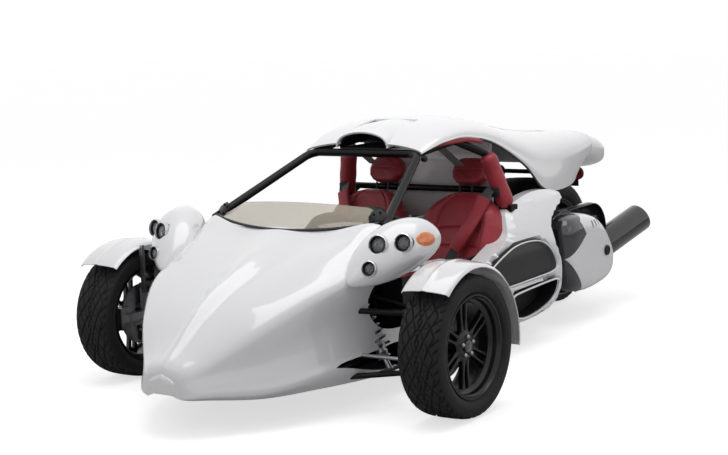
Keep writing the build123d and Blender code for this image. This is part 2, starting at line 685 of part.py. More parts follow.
caliper_web = span((disc_x - 22, disc_x + 22), (-disc_r - 22, -disc_r - 5), (front_z - 52, front_z + 52))
caliper_arm = span((upright_x0 + 4, disc_x - 8), (-disc_r + 10, -10), (front_z - 20, front_z + 20))
caliper_arm = caliper_arm - span((disc_x - disc_t / 2 - 3, disc_x + 60), (-400, 0), (0, 600))
fender_r = front_tyre_r + fender_gap
stay_x = (fender_in_x - 12, fender_in_x + 8)
stays = [span(stay_x, (y - 7, y + 7), (upper_eye_z - 10, front_z + fender_r + 3)) for y in (-46, 46)]
stay_foot = span((stay_x[0], upright_x0 + 6), (-53, 53), (upper_eye_z + 26, upper_eye_z + 36))
stay_post = span((upright_x0, upright_x0 + 12), (-26, 26), (upper_eye_z + 8, upper_eye_z + 36))
upright = join([upright, steer_arm, caliper, caliper_web, caliper_arm, stay_foot, stay_post] + stays)


def sector(r, a0, a1, x0, x1):
    """Solid wedge about the wheel axle, angles in degrees up from the rear."""
    pts = [(0.0, 0.0)]
    n = 10
    for i in range(n + 1):
        a = math.radians(a0 + (a1 - a0) * i / n)
        pts.append((r * math.cos(a), r * math.sin(a)))
    return side_slab(pts, 0, x0, x1)


def fender_ring(r0, r1, x0, x1, crown):
    mid = (x0 + x1) / 2
    outer = [(x0, r1 - crown), (mid, r1), (x1, r1 - crown)]
    inner = [(x1, r0 - crown), (mid, r0), (x0, r0 - crown)]
    edges = [ThreePointArc(*[(p[0], p[1], 0) for p in outer]), Line(outer[2], inner[0]),
             ThreePointArc(*[(p[0], p[1], 0) for p in inner]), Line(inner[2], outer[0])]
    return revolve(Face(Wire(edges)), Axis.X)


ring = fender_ring(fender_r + fender_crown, fender_r + fender_crown + fender_t, fender_in_x,
                   fender_out_x, fender_crown)
fender = ring & sector(fender_r * 1.6, fender_rear_deg, fender_front_deg, fender_in_x - 5, fender_out_x + 5)
fender = Pos(0, 0, front_z) * fender
upright = upright - fender
for side, word in ((1, "left"), (-1, "right")):
    parts[f"knuckle_{word}"] = upright if side > 0 else mirror(upright, Plane.YZ)
    parts[f"fender_{word}"] = fender if side > 0 else mirror(fender, Plane.YZ)

# ---- wishbones and front dampers ----
shock_x = 560.0
shock_z = rail_z + (lower_eye_z - rail_z) * (shock_x - lower_pivot_x) / (kingpin_x - lower_pivot_x)
arms = []
for pivot_x, pivot_y, pivot_z, eye_z in ((upper_pivot_x, upper_pivot_y, top_rail_z, upper_eye_z),
                                         (lower_pivot_x, lower_pivot_y, rail_z, lower_eye_z)):
    eye = rod((kingpin_x, 0, eye_z - eye_h / 2), (kingpin_x, 0, eye_z + eye_h / 2), eye_r)
    arm = eye
    for end in (-1, 1):
        arm = arm + rod((pivot_x, end * pivot_y, pivot_z), (kingpin_x - 4, 0, eye_z), arm_tube_r)
    if eye_z == lower_eye_z:
        arm = arm + rod((shock_x, -106, shock_z), (shock_x, 106, shock_z), 9)
    arm = arm - rod((kingpin_x, 0, 0), (kingpin_x, 0, 600), kingpin_r + run_gap)
    arms.append(arm - frame)
wishbone_solids = [s for arm in arms for side in both(arm) for s in side.solids()]
parts["wishbones"] = Compound(children=wishbone_solids)
lower_arm_point = (shock_x, 0.0, shock_z)
damper = coil_over(lower_arm_point, (rail_x + 30, 0.0, top_rail_z + 60), shock_r, shock_rings)
parts["front_shocks"] = pair(damper - arms[0] - arms[1] - frame)

for a, b, r in (((lower_pivot_x, -lower_pivot_y, rail_z), (kingpin_x, 0, lower_eye_z), arm_tube_r),
                ((lower_pivot_x, lower_pivot_y, rail_z), (kingpin_x, 0, lower_eye_z), arm_tube_r),
                ((upper_pivot_x, -upper_pivot_y, top_rail_z), (kingpin_x, 0, upper_eye_z), arm_tube_r),
                ((upper_pivot_x, upper_pivot_y, top_rail_z), (kingpin_x, 0, upper_eye_z), arm_tube_r),
                (lower_arm_point, (rail_x + 30, 0, top_rail_z + 60), shock_r),
                ((rail_x, rack_y, rack_z - 2), (kingpin_x, rack_y, steer_arm_z - 16), tie_rod_r)):
    for hole in both(rod(a, b, r + 14)):
        parts["nose_shell"] = parts["nose_shell"] - hole
parts["nose_shell"] = max(parts["nose_shell"].solids(), key=lambda s: s.volume)

# ---- steering ----
rack = rod((-250, rack_y, rack_z), (250, rack_y, rack_z), rack_r - 6)
rack_case = rod((-220, rack_y, rack_z), (220, rack_y, rack_z), rack_r) - rod(
    (-230, rack_y, rack_z), (230, rack_y, rack_z), rack_r - 6 + run_gap)
rods = [rod((side * 240, rack_y, rack_z), (side * (kingpin_x - 20), rack_y, steer_arm_z - 16), tie_rod_r)
        for side in (-1, 1)]
parts["steering_rack"] = join([rack] + rods)
helm_plane = Plane(origin=helm_c, z_dir=Vector(0, math.cos(math.radians(helm_tilt_deg)),
                                               math.sin(math.radians(helm_tilt_deg))))
helm = helm_plane * Torus(helm_r, helm_grip_r)
helm_hub = helm_plane * Pos(0, 0, -24) * Cylinder(34, 40)
helm = helm + helm_hub
for a in (90, 210, 330):
    bar = helm_plane * (Rot(0, 0, a) * Pos(helm_r / 2, 0, -8) * Box(helm_r - 8, 22, 7))
    helm = helm + bar
helm_shaft_r = 9.0
helm = helm + helm_plane * Pos(0, 0, -150) * Cylinder(helm_shaft_r, 110, align=(
    Align.CENTER, Align.CENTER, Align.MIN))
parts["steering_wheel"] = helm
column = helm_plane * Pos(0, 0, -330) * (Cylinder(22, 280, align=(Align.CENTER, Align.CENTER, Align.MIN)))
column = column - helm_plane * Pos(0, 0, -152) * Cylinder(helm_shaft_r + run_gap, 200, align=(
    Align.CENTER, Align.CENTER, Align.MIN))
bracket = span((seat_x - 16, seat_x + 16), (205, 245), (468, 700)) - Pos(0, 0, -seat_gap) * dash
column = column + (bracket - helm_plane * Pos(0, 0, -152) * Cylinder(helm_shaft_r + run_gap, 200, align=(
    Align.CENTER, Align.CENTER, Align.MIN)))
parts["steering_column"] = max(column.solids(), key=lambda s: s.volume)
parts["rack_case"] = rack_case


# ---- exhausts, side cases, tail fittings ----
muffler_axis = (Vector(*muffler_end) - Vector(*muffler_start)).normalized()
muffler_tip = Vector(*muffler_start) + muffler_axis * 520
muffler = rod(muffler_start, muffler_tip, muffler_r)
bore_start = Vector(*muffler_start) + muffler_axis * 240
muffler = muffler - rod(bore_start, muffler_tip + muffler_axis * 9, muffler_r - 12)
muffler = muffler - span((0, 900), (rear_end_y, 3200), (0, 900))
pipe = bent_tube([Vector(*muffler_start) + muffler_axis * 6, (302, wheelbase - 24, 384),
                  (296, wheelbase - 186, 310), (296, wheelbase - 436, 262), (296, 1480, 262),
                  (engine_x + seat_gap, 1480, 262)], 20, 30.0)
muffler = muffler + pipe
parts["mufflers"] = pair(muffler)

case_y, case_z = case_c


def case_face(x, grow):
    plane = Plane(origin=(x, case_y, case_z), x_dir=(0, 1, 0), z_dir=(1, 0, 0))
    return (plane * RectangleRounded(case_len - 2 * grow, case_h - 2 * grow, 150 - grow * 0.5)).face()


case_t = 4.0
lid_gap = 5.0
case_body = loft([case_face(case_in_x, 30), case_face(case_in_x + 30, 4), case_face(case_split_x, 0)])
case_body = case_body - loft([case_face(case_in_x + case_t, 34), case_face(case_in_x + 34, 8),
                              case_face(case_split_x + 1, case_t)])
lid = loft([case_face(case_split_x + lid_gap, 0), case_face(case_out_x - 34, 26),
            case_face(case_out_x, 90)])
lid = lid - loft([case_face(case_split_x + lid_gap - 1, case_t), case_face(case_out_x - 36, 30),
                  case_face(case_out_x - case_t, 94)])
hinge_x = case_split_x + lid_gap / 2
hinge_z = case_z - case_h / 2 - 7.0
hinge_r = 3.0
knuckle_r = 6.0
hinge_half = 40.0
pin_half = hinge_half + 14
hinge_pin = rod((hinge_x, case_y - pin_half, hinge_z), (hinge_x, case_y + pin_half, hinge_z), hinge_r)
for y in (case_y - hinge_half - 8, case_y + hinge_half + 8):
    lug = rod((hinge_x, y - 6, hinge_z), (hinge_x, y + 6, hinge_z), knuckle_r)
    lug = lug + span((hinge_x - 22, hinge_x - 2), (y - 6, y + 6), (hinge_z - 3, hinge_z + 9))
    hinge_pin = hinge_pin + lug
case_body = case_body + hinge_pin
barrel = rod((hinge_x, case_y - hinge_half, hinge_z), (hinge_x, case_y + hinge_half, hinge_z), knuckle_r)
barrel = barrel + span((hinge_x + lid_gap / 2, hinge_x + 14),
                       (case_y - hinge_half, case_y + hinge_half), (hinge_z, hinge_z + 9))
hinge_bore = rod((hinge_x, case_y - 90, hinge_z), (hinge_x, case_y + 90, hinge_z), hinge_r + run_gap)
lid = lid + (barrel - hinge_bore)
parts["side_cases"] = pair(case_body)
parts["case_lid_left"] = lid
parts["case_lid_right"] = mirror(lid, Plane.YZ)

hugger_r = rear_tyre_r + 22
hugger = fender_ring(hugger_r + 8, hugger_r + 13, -150, 150, 8)
hugger = hugger & sector(hugger_r * 1.6, 101, 176, -160, 160)
hugger = Pos(0, wheelbase, rear_z) * hugger
tab_x = arm_x - arm_w / 2 - seat_gap
for tab in both(span((128, tab_x), (wheelbase - 371, wheelbase - 343), (rear_z + 18, rear_z + 70))):
    hugger = hugger + tab
parts["rear_hugger"] = hugger
tail_lamps = rod((0, 0, 0), (0, 24, 0), 31)
parts["tail_lamps"] = pair(Pos(244, wheelbase - 1.0 + seat_gap, 712) * tail_lamps)
holder_y = wheelbase + 270.0
holder = span((-110, 110), (holder_y, holder_y + 8), (606, 728))
holder = holder + span((-40, 40), (holder_y - 86, holder_y + 4), (704, 712))
holder = holder + span((-40, 40), (holder_y - 86, holder_y - 74), (704, 760))
parts["plate_holder"] = holder - parts["tail_lobe"]
plate = span((-90, 90), (holder_y + 8 + seat_gap, holder_y + 10), (612, 700))
parts["plate"] = plate


# ---- write every piece, with the origin under the middle ----
row_shift = -(nose_tip_y + rear_end_y) / 2
os.makedirs("parts", exist_ok=True)
for name, shape in parts.items():
    placed = Compound(children=[s.moved(Location((0, row_shift, 0))) for s in shape.solids()])
    export_step(placed, f"parts/{name}.step")
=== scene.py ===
import math

import bmesh
import bpy
import numpy as np
from mathutils import Matrix, Vector
from mathutils.geometry import delaunay_2d_cdt


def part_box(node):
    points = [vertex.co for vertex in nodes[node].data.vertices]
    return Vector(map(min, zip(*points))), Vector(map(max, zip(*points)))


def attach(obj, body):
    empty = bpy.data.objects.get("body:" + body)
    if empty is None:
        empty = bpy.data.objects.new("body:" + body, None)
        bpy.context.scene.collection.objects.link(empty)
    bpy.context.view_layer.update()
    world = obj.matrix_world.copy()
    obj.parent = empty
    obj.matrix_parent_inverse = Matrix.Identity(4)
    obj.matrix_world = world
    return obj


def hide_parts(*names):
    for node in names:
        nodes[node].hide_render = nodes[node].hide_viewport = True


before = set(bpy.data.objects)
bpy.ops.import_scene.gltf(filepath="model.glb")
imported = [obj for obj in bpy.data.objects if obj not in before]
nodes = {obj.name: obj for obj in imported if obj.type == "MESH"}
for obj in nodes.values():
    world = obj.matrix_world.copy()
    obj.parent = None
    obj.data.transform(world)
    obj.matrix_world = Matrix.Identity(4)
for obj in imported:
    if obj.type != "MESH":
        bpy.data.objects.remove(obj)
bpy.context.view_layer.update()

axleY = -0.945  # the front axle in the car's frame; pieces are modelled from the axle and moved by fit
frontHub, rearHub = (0.888, 0, 0.2955), (0, 2.286, 0.332)
nearAxis = 0.0002  # where a turned profile meets its axis
scene = bpy.context.scene
print("frame loaded:", len(nodes), "nodes")


# mesh tools
def newObject(name, data):
    made = bpy.data.objects.new(name, data)
    scene.collection.objects.link(made)
    return made


def newPiece(name, verts, faces):
    mesh = bpy.data.meshes.new(name)
    mesh.from_pydata([tuple(v) for v in verts], [], faces)
    mesh.validate()
    return newObject(name, mesh)


# a curve through every point; a row of numbers counts as a point too
def smoothLine(points, steps):
    pts = np.array(points, float)
    last = len(pts) - 1
    out = []
    for i in range(last):
        a, b, c, d = pts[max(i - 1, 0)], pts[i], pts[i + 1], pts[min(i + 2, last)]
        for k in range(steps):
            t = k / steps
            out.append(0.5 * (2 * b + (c - a) * t + (2 * a - 5 * b + 4 * c - d) * t * t
                              + (3 * b - a - 3 * c + d) * t ** 3))
    out.append(pts[last])
    return np.array(out)


def smoothGrid(rows, alongSteps, acrossSteps):
    grid = smoothLine(rows, alongSteps)
    return np.array([smoothLine(row, acrossSteps) for row in grid])


def gridFaces(rowCount, colCount, closedAcross=False, closedAlong=False):
    faces = []
    for i in range(rowCount if closedAlong else rowCount - 1):
        for j in range(colCount if closedAcross else colCount - 1):
            a = i * colCount + j
            b = i * colCount + (j + 1) % colCount
            n = (i + 1) % rowCount
            faces.append((a, b, n * colCount + (j + 1) % colCount, n * colCount + j))
    return faces


def gridPiece(name, grid, closedAcross=False, closedAlong=False, capped=False):
    rows, cols = len(grid), len(grid[0])
    verts = [p for row in grid for p in row]
    faces = gridFaces(rows, cols, closedAcross, closedAlong)
    if capped:
        faces.append(tuple(range(cols))[::-1])
        faces.append(tuple((rows - 1) * cols + j for j in range(cols)))
    return newPiece(name, verts, faces)


# even steps round a circle, as cosines and sines
def around(count):
    angles = [2 * math.pi * k / count for k in range(count)]
    return [(math.cos(a), math.sin(a)) for a in angles]


def tube(name, points, radius, sides=16, closed=False):
    pts = [Vector(p) for p in points]
    count = len(pts)
    ring = []
    up = None
    for i, p in enumerate(pts):
        if closed:
            direction = (pts[(i + 1) % count] - pts[i - 1]).normalized()
        else:
            direction = (pts[min(i + 1, count - 1)] - pts[max(i - 1, 0)]).normalized()
        if up is None:
            up = direction.orthogonal().normalized()
        up = (up - direction * up.dot(direction)).normalized()
        side = direction.cross(up)
        r = radius[i] if isinstance(radius, (list, tuple)) else radius
        ring.append([p + (up * c + side * s) * r for c, s in around(sides)])
    return gridPiece(name, ring, closedAcross=True, closedAlong=closed, capped=not closed)


def sidesOf(direction):
    u = direction.orthogonal().normalized()
    return u, direction.cross(u)


# profile points are (along the axis, out from it)
def lathe(name, profile, center, axis, sides=64):
    axis = Vector(axis).normalized()
    u, v = sidesOf(axis)
    center = Vector(center)
    grid = []
    for c, s in around(sides):
        out = u * c + v * s
        grid.append([center + axis * t + out * r for t, r in profile])
    return gridPiece(name, grid, closedAcross=True, closedAlong=True)


def joinPieces(name, pieces):
    merged = bmesh.new()
    for piece in pieces:
        merged.from_mesh(piece.data)
        bpy.data.objects.remove(piece)
    mesh = bpy.data.meshes.new(name)
    merged.to_mesh(mesh)
    merged.free()
    return newObject(name, mesh)


def mirrored(piece, name, across=(1, 0, 0)):
    mesh = piece.data.copy()
    mesh.transform(Matrix.Scale(-1, 4, across))
    mesh.flip_normals()
    return newObject(name, mesh)


def bothSides(name, piece):
    return joinPieces(name, [mirrored(piece, name + ".m"), piece])


def moved(piece, place):
    piece.data.transform(Matrix.Translation(place))
    return piece


def evaluated(piece):
    deps = bpy.context.evaluated_depsgraph_get()
    mesh = bpy.data.meshes.new_from_object(piece.evaluated_get(deps))
    piece.modifiers.clear()
    piece.data = mesh
    return piece


def shaped(piece, kind, **settings):
    step = piece.modifiers.new("step", kind)
    for key, value in settings.items():
        setattr(step, key, value)
    return evaluated(piece)


def outward(piece, merge=0.0):
    work = bmesh.new()
    work.from_mesh(piece.data)
    if merge:
        bmesh.ops.remove_doubles(work, verts=work.verts, dist=merge)
    bmesh.ops.recalc_face_normals(work, faces=work.faces)
    work.to_mesh(piece.data)
    work.free()
    return piece


# turns an open skin over when the given point is on its outer side
def facingFrom(piece, inside, index=0):
    face = piece.data.polygons[index]
    if (Vector(face.center) - Vector(inside)).dot(face.normal) < 0:
        piece.data.flip_normals()
    return piece


def thicken(piece, depth):
    return shaped(piece, "SOLIDIFY", thickness=depth, offset=-1)


def rounded(piece, width, segments=2, angle=35):
    return shaped(piece, "BEVEL", width=width, segments=segments, limit_method="ANGLE",
                  angle_limit=math.radians(angle))


def cutWith(piece, cutters, operation="DIFFERENCE"):
    for cutter in cutters:
        shaped(piece, "BOOLEAN", operation=operation, solver="EXACT", object=cutter)
        bpy.data.objects.remove(cutter)
    return piece


# a closed solid between two loops of the same count
def loopSolid(name, first, second):
    count = len(first)
    faces = [tuple(range(count))[::-1], tuple(range(count, 2 * count))]
    faces += [(i, (i + 1) % count, count + (i + 1) % count, count + i) for i in range(count)]
    return outward(newPiece(name, first + second, faces))


def prism(name, outline, x0, x1):
    return loopSolid(name, [(x0, y, z) for y, z in outline], [(x1, y, z) for y, z in outline])


def block(name, x, y, z, bevel=0.0):
    piece = prism(name, [(y[0], z[0]), (y[1], z[0]), (y[1], z[1]), (y[0], z[1])], x[0], x[1])
    return rounded(piece, bevel) if bevel else piece


# moves a finished piece into the car's frame, paints it and hands it to a body
def fit(piece, material, body, replaces=(), sharp=32):
    moved(piece, (0, axleY, 0))
    piece.data.materials.clear()
    piece.data.materials.append(material)
    for face in piece.data.polygons:
        face.use_smooth = True
        face.material_index = 0
    piece.data.set_sharp_from_angle(angle=math.radians(sharp))
    if replaces:
        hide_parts(*replaces)
    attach(piece, body)
    return piece


# a piece and its mirror image in one, on the chassis
def fitBoth(name, piece, material, replaces=(), sharp=32):
    fit(bothSides(name, piece), material, "chassis", replaces, sharp)


# a left piece and its mirror image, each on the body of its side
def fitPair(piece, label, material, body, replaced=None, sharp=32):
    other = mirrored(piece, label + "Right")
    piece.name = label + "Left"
    for one, side in ((piece, "_left"), (other, "_right")):
        fit(one, material, body + side, [replaced + side] if replaced else [], sharp)


# fills an outline with even points and triangles, and gives each point's distance to the nearest edge
def panelGrid(outline, holes, spacing):
    verts, edges, loops = [], [], []
    for loop in [outline] + list(holes):
        base = len(verts)
        verts += [Vector(p) for p in loop]
        edges += [(base + i, base + (i + 1) % len(loop)) for i in range(len(loop))]
        loops.append(np.array(loop))

    def inside(p, poly):
        x, y = p
        hit = False
        for (x0, y0), (x1, y1) in zip(poly, np.roll(poly, -1, axis=0)):
            if (y0 > y) != (y1 > y) and x < (x1 - x0) * (y - y0) / (y1 - y0) + x0:
                hit = not hit
        return hit

    def edgeDistance(p):
        best = 9.0
        for poly in loops:
            nxt = np.roll(poly, -1, axis=0)
            d = nxt - poly
            t = np.clip(((p - poly) * d).sum(1) / np.maximum((d * d).sum(1), 1e-12), 0, 1)
            best = min(best, float(np.sqrt((((poly + d * t[:, None]) - p) ** 2).sum(1)).min()))
        return best

    low, high = loops[0].min(0), loops[0].max(0)
    for u in np.arange(low[0] + spacing / 2, high[0], spacing):
        for v in np.arange(low[1] + spacing / 2, high[1], spacing):
            p = np.array((u, v))
            if inside(p, loops[0]) and not any(inside(p, h) for h in loops[1:]):
                if edgeDistance(p) > spacing * 0.5:
                    verts.append(Vector((u, v)))
    outVerts, _, outFaces = delaunay_2d_cdt(verts, edges, [], 1, 1e-6)[:3]
    keep = []
    for face in outFaces:
        mid = sum((outVerts[i] for i in face), Vector((0, 0))) / len(face)
        if inside(mid, loops[0]) and not any(inside(mid, h) for h in loops[1:]):
            keep.append(face)
    dist = [edgeDistance(np.array(v)) for v in outVerts]
    return outVerts, keep, dist


# a panel over a flank, its edges rolled inwards and its holes left open
def flankPanel(name, outline, holes, flank, spacing, roll, depth):
    verts, faces, dist = panelGrid(outline, holes, spacing)
    placed = []
    for p, d in zip(verts, dist):
        drop = roll - math.sqrt(max(roll * roll - max(roll - d, 0) ** 2, 0)) if roll else 0
        placed.append((flank(p[1]) - drop, p[0], p[1]))
    piece = outward(newPiece(name, placed, faces))
    if sum(face.normal.x * face.area for face in piece.data.polygons) < 0:
        piece.data.flip_normals()
    return thicken(piece, depth)


# materials
def blankMaterial(name):
    mat = bpy.data.materials.new(name)
    mat.use_nodes = True
    tree = mat.node_tree
    shader = tree.nodes["Principled BSDF"]
    coords = tree.nodes.new("ShaderNodeTexCoord")
    return mat, tree, shader, coords.outputs["Object"]


# sets a node's inputs by name, or links them where a socket is given
def fill(tree, node, inputs):
    for key, value in inputs.items():
        if isinstance(value, bpy.types.NodeSocket):
            tree.links.new(value, node.inputs[key])
        else:
            node.inputs[key].default_value = value


def nodeOf(tree, kind, output, inputs, **settings):
    node = tree.nodes.new(kind)
    for key, value in settings.items():
        setattr(node, key, value)
    fill(tree, node, inputs)
    return node.outputs[output]


def noiseOf(tree, coords, scale, detail=4.0, stretch=None):
    if stretch:
        coords = nodeOf(tree, "ShaderNodeMapping", "Vector", {"Scale": stretch, "Vector": coords})
    return nodeOf(tree, "ShaderNodeTexNoise", "Fac", {"Scale": scale, "Detail": detail, "Vector": coords})


def mathOf(tree, kind, first, second):
    return nodeOf(tree, "ShaderNodeMath", "Value", {0: first, 1: second}, operation=kind)


def rampOf(tree, fac, stops):
    ramp = tree.nodes.new("ShaderNodeValToRGB")
    while len(ramp.color_ramp.elements) < len(stops):
        ramp.color_ramp.elements.new(0.5)
    for element, (pos, color) in zip(ramp.color_ramp.elements, stops):
        element.position = pos
        element.color = (*color, 1.0)
    tree.links.new(fac, ramp.inputs["Fac"])
    return ramp.outputs["Color"]


def rangeOf(tree, fac, low, high, fromLow=0.3, fromHigh=0.7):
    return nodeOf(tree, "ShaderNodeMapRange", "Result",
                  {"From Min": fromLow, "From Max": fromHigh, "To Min": low, "To Max": high, "Value": fac})


def bumpOf(tree, height, strength, distance, before=None):
    below = {} if before is None else {"Normal": before}
    return nodeOf(tree, "ShaderNodeBump", "Normal",
                  {"Strength": strength, "Distance": distance, "Height": height, **below})


def finish(name, base, dark, rough, metal=0.0, coat=0.0, coatRough=0.04, scale=6.0, grain=400.0,
           bump=0.1, bumpDepth=0.0003, stretch=None, specular=0.5, sheen=0.0):
    mat, tree, shader, coords = blankMaterial(name)
    broad = noiseOf(tree, coords, scale, 5.0)
    fine = noiseOf(tree, coords, grain, 3.0, stretch)
    fill(tree, shader, {"Base Color": rampOf(tree, broad, [(0.35, dark), (0.65, base)]),
                        "Roughness": rangeOf(tree, fine, *rough), "Metallic": metal, "Coat Weight": coat,
                        "Coat Roughness": coatRough, "Specular IOR Level": specular, "Sheen Weight": sheen})
    if bump:
        fill(tree, shader, {"Normal": bumpOf(tree, fine, bump, bumpDepth)})
    return mat


def leatherMaterial(name, base, dark):
    mat, tree, shader, coords = blankMaterial(name)
    pores = nodeOf(tree, "ShaderNodeTexVoronoi", "Distance", {"Scale": 260.0, "Vector": coords},
                   feature="DISTANCE_TO_EDGE")
    broad = noiseOf(tree, coords, 9.0, 6.0)
    creases = noiseOf(tree, coords, 60.0, 6.0)
    fill(tree, shader, {"Base Color": rampOf(tree, broad, [(0.3, dark), (0.7, base)]),
                        "Roughness": rangeOf(tree, creases, 0.36, 0.52), "Specular IOR Level": 0.42,
                        "Sheen Weight": 0.08,
                        "Normal": bumpOf(tree, creases, 0.25, 0.0012, bumpOf(tree, pores, 0.35, 0.0005))})
    return mat


def linedMaterial(name):
    mat, tree, shader, coords = blankMaterial(name)
    wave = nodeOf(tree, "ShaderNodeTexWave", "Fac", {"Scale": 46.0, "Distortion": 0.2, "Vector": coords},
                  bands_direction="DIAGONAL")
    mixed = mathOf(tree, "MULTIPLY", wave, noiseOf(tree, coords, 5.0))
    stops = [(0.1, (0.004, 0.004, 0.005)), (0.7, (0.022, 0.022, 0.025))]
    fill(tree, shader, {"Base Color": rampOf(tree, mixed, stops),
                        "Roughness": rangeOf(tree, wave, 0.3, 0.42), "Normal": bumpOf(tree, wave, 0.25, 0.0005),
                        "Coat Weight": 0.15, "Coat Roughness": 0.1, "Specular IOR Level": 0.25})
    return mat


# see-through by alpha, denser where it is seen edge-on, so lamps behind it stay lit
def clearMaterial(name, color, cover):
    mat, tree, shader, coords = blankMaterial(name)
    haze = noiseOf(tree, coords, 30.0, 3.0)
    facing = nodeOf(tree, "ShaderNodeLayerWeight", "Facing", {"Blend": 0.25})
    fill(tree, shader, {"Roughness": rangeOf(tree, haze, 0.02, 0.06),
                        "Base Color": rampOf(tree, haze, [(0.3, tuple(c * 0.95 for c in color)), (0.7, color)]),
                        "Alpha": rangeOf(tree, facing, cover, min(cover * 3.5, 1.0), 0.0, 1.0), "Coat Weight": 1.0})
    return mat


mats = {
    "white": finish("bodyWhite", (0.80, 0.80, 0.815), (0.775, 0.775, 0.795), (0.24, 0.30), coat=1.0,
                    coatRough=0.02, scale=3.0, grain=900.0, bump=0.02, bumpDepth=0.00005, specular=0.5),
    "frame": finish("powderBlack", (0.005, 0.005, 0.0055), (0.003, 0.003, 0.0035), (0.24, 0.34), coat=0.12,
                    coatRough=0.08, grain=500.0, bump=0.06, specular=0.12),
    "leather": leatherMaterial("redLeather", (0.360, 0.026, 0.040), (0.250, 0.016, 0.026)),
    "tyre": finish("tyreRubber", (0.017, 0.017, 0.018), (0.011, 0.011, 0.0115), (0.52, 0.68), scale=12.0,
                   grain=260.0, bump=0.25, bumpDepth=0.0006, specular=0.2),
    "rim": finish("satinBlack", (0.007, 0.007, 0.0078), (0.004, 0.004, 0.0045), (0.24, 0.34), coat=0.12,
                  coatRough=0.1, grain=700.0, bump=0.05, specular=0.3),
    "steel": finish("machinedSteel", (0.42, 0.42, 0.43), (0.30, 0.30, 0.31), (0.26, 0.42), metal=1.0,
                    grain=300.0, stretch=(1, 12, 12)),
    "alloy": finish("castAlloy", (0.36, 0.36, 0.37), (0.25, 0.25, 0.26), (0.42, 0.6), metal=0.9,
                    grain=240.0, bump=0.3, bumpDepth=0.0008),
    "plastic": finish("grainedBlack", (0.011, 0.011, 0.012), (0.007, 0.007, 0.0075), (0.45, 0.62),
                      grain=650.0, bump=0.35, bumpDepth=0.0005, specular=0.25),
    "gloss": finish("glossGraphite", (0.035, 0.035, 0.042), (0.022, 0.022, 0.028), (0.14, 0.22), metal=0.35,
                    coat=1.0, grain=40.0, bump=0.05, stretch=(1, 6, 0.6)),
    "lined": linedMaterial("linedPanel"),
    "chrome": finish("darkChrome", (0.17, 0.17, 0.175), (0.11, 0.11, 0.115), (0.10, 0.18), metal=1.0,
                     grain=220.0, bump=0.03, stretch=(8, 1, 8)),
    "canister": finish("polishedDark", (0.020, 0.020, 0.022), (0.012, 0.012, 0.013), (0.07, 0.13), metal=0.5,
                       coat=1.0, grain=220.0, bump=0.02, stretch=(8, 1, 8)),
    "mirrorCup": finish("lampReflector", (0.40, 0.40, 0.42), (0.26, 0.26, 0.28), (0.10, 0.18), metal=1.0,
                        grain=120.0, bump=0.05),
    "silver": finish("lampRing", (0.62, 0.62, 0.64), (0.50, 0.50, 0.52), (0.16, 0.26), metal=0.8, coat=0.6,
                     grain=200.0, bump=0.04),
    "lens": clearMaterial("lampLens", (0.95, 0.96, 0.98), 0.07),
    "smoke": clearMaterial("smokeScreen", (0.42, 0.37, 0.27), 0.30),
    "amber": finish("amberLens", (0.82, 0.20, 0.006), (0.60, 0.12, 0.004), (0.12, 0.2), coat=1.0,
                    scale=60.0, grain=90.0, bump=0.3, bumpDepth=0.001),
    "redLens": finish("redLens", (0.55, 0.008, 0.015), (0.36, 0.004, 0.01), (0.1, 0.18), coat=1.0,
                      scale=60.0, grain=90.0, bump=0.3, bumpDepth=0.001),
    "webbing": finish("greyWebbing", (0.16, 0.16, 0.17), (0.05, 0.05, 0.055), (0.6, 0.8), scale=160.0,
                      grain=500.0, bump=0.5, bumpDepth=0.0006, sheen=0.2),
    "belt": finish("blackWebbing", (0.016, 0.016, 0.017), (0.008, 0.008, 0.009), (0.55, 0.75), scale=90.0,
                   grain=700.0, bump=0.5, bumpDepth=0.0006, sheen=0.2),
    "seal": finish("rubberSeal", (0.012, 0.012, 0.012), (0.007, 0.007, 0.007), (0.45, 0.6), grain=500.0),
    "plateWhite": finish("blankPlate", (0.72, 0.72, 0.72), (0.66, 0.66, 0.66), (0.3, 0.4), grain=300.0,
                         bump=0.03),
}

nodeFinishes = {
    "white": "nose_shell lamp_pods roof_shell tail_lobe side_pods bulkhead fender_left fender_right "
             "case_lid_left case_lid_right",
    "lens": "headlamps", "amber": "marker_lamps", "redLens": "tail_lamps", "lined": "pod_inserts",
    "smoke": "windscreen", "chrome": "mufflers", "gloss": "side_cases", "plateWhite": "plate",
    "plastic": "pod_ducts cockpit_tub belly_pan dashboard rear_hugger plate_holder steering_wheel",
    "leather": "seats headrests cage_pads",
    "frame": "headrest_posts roll_cage chassis_frame swing_arm wishbones steering_column",
    "alloy": "engine rack_case",
    "steel": "rear_shock front_shocks knuckle_left knuckle_right front_disc_left front_disc_right steering_rack",
    "rim": "front_rim_left front_rim_right rear_rim",
    "tyre": "front_tyre_left front_tyre_right rear_tyre",
}
for key, names in nodeFinishes.items():
    for name in names.split():
        for slot in nodes[name].material_slots:
            slot.material = mats[key]
print("materials ready:", len(mats))

# nose skin
noseSizes = {"wall": 0.008, "alongSteps": 10, "acrossSteps": 7, "spineRise": 0.007, "valleyDrop": 0.005}
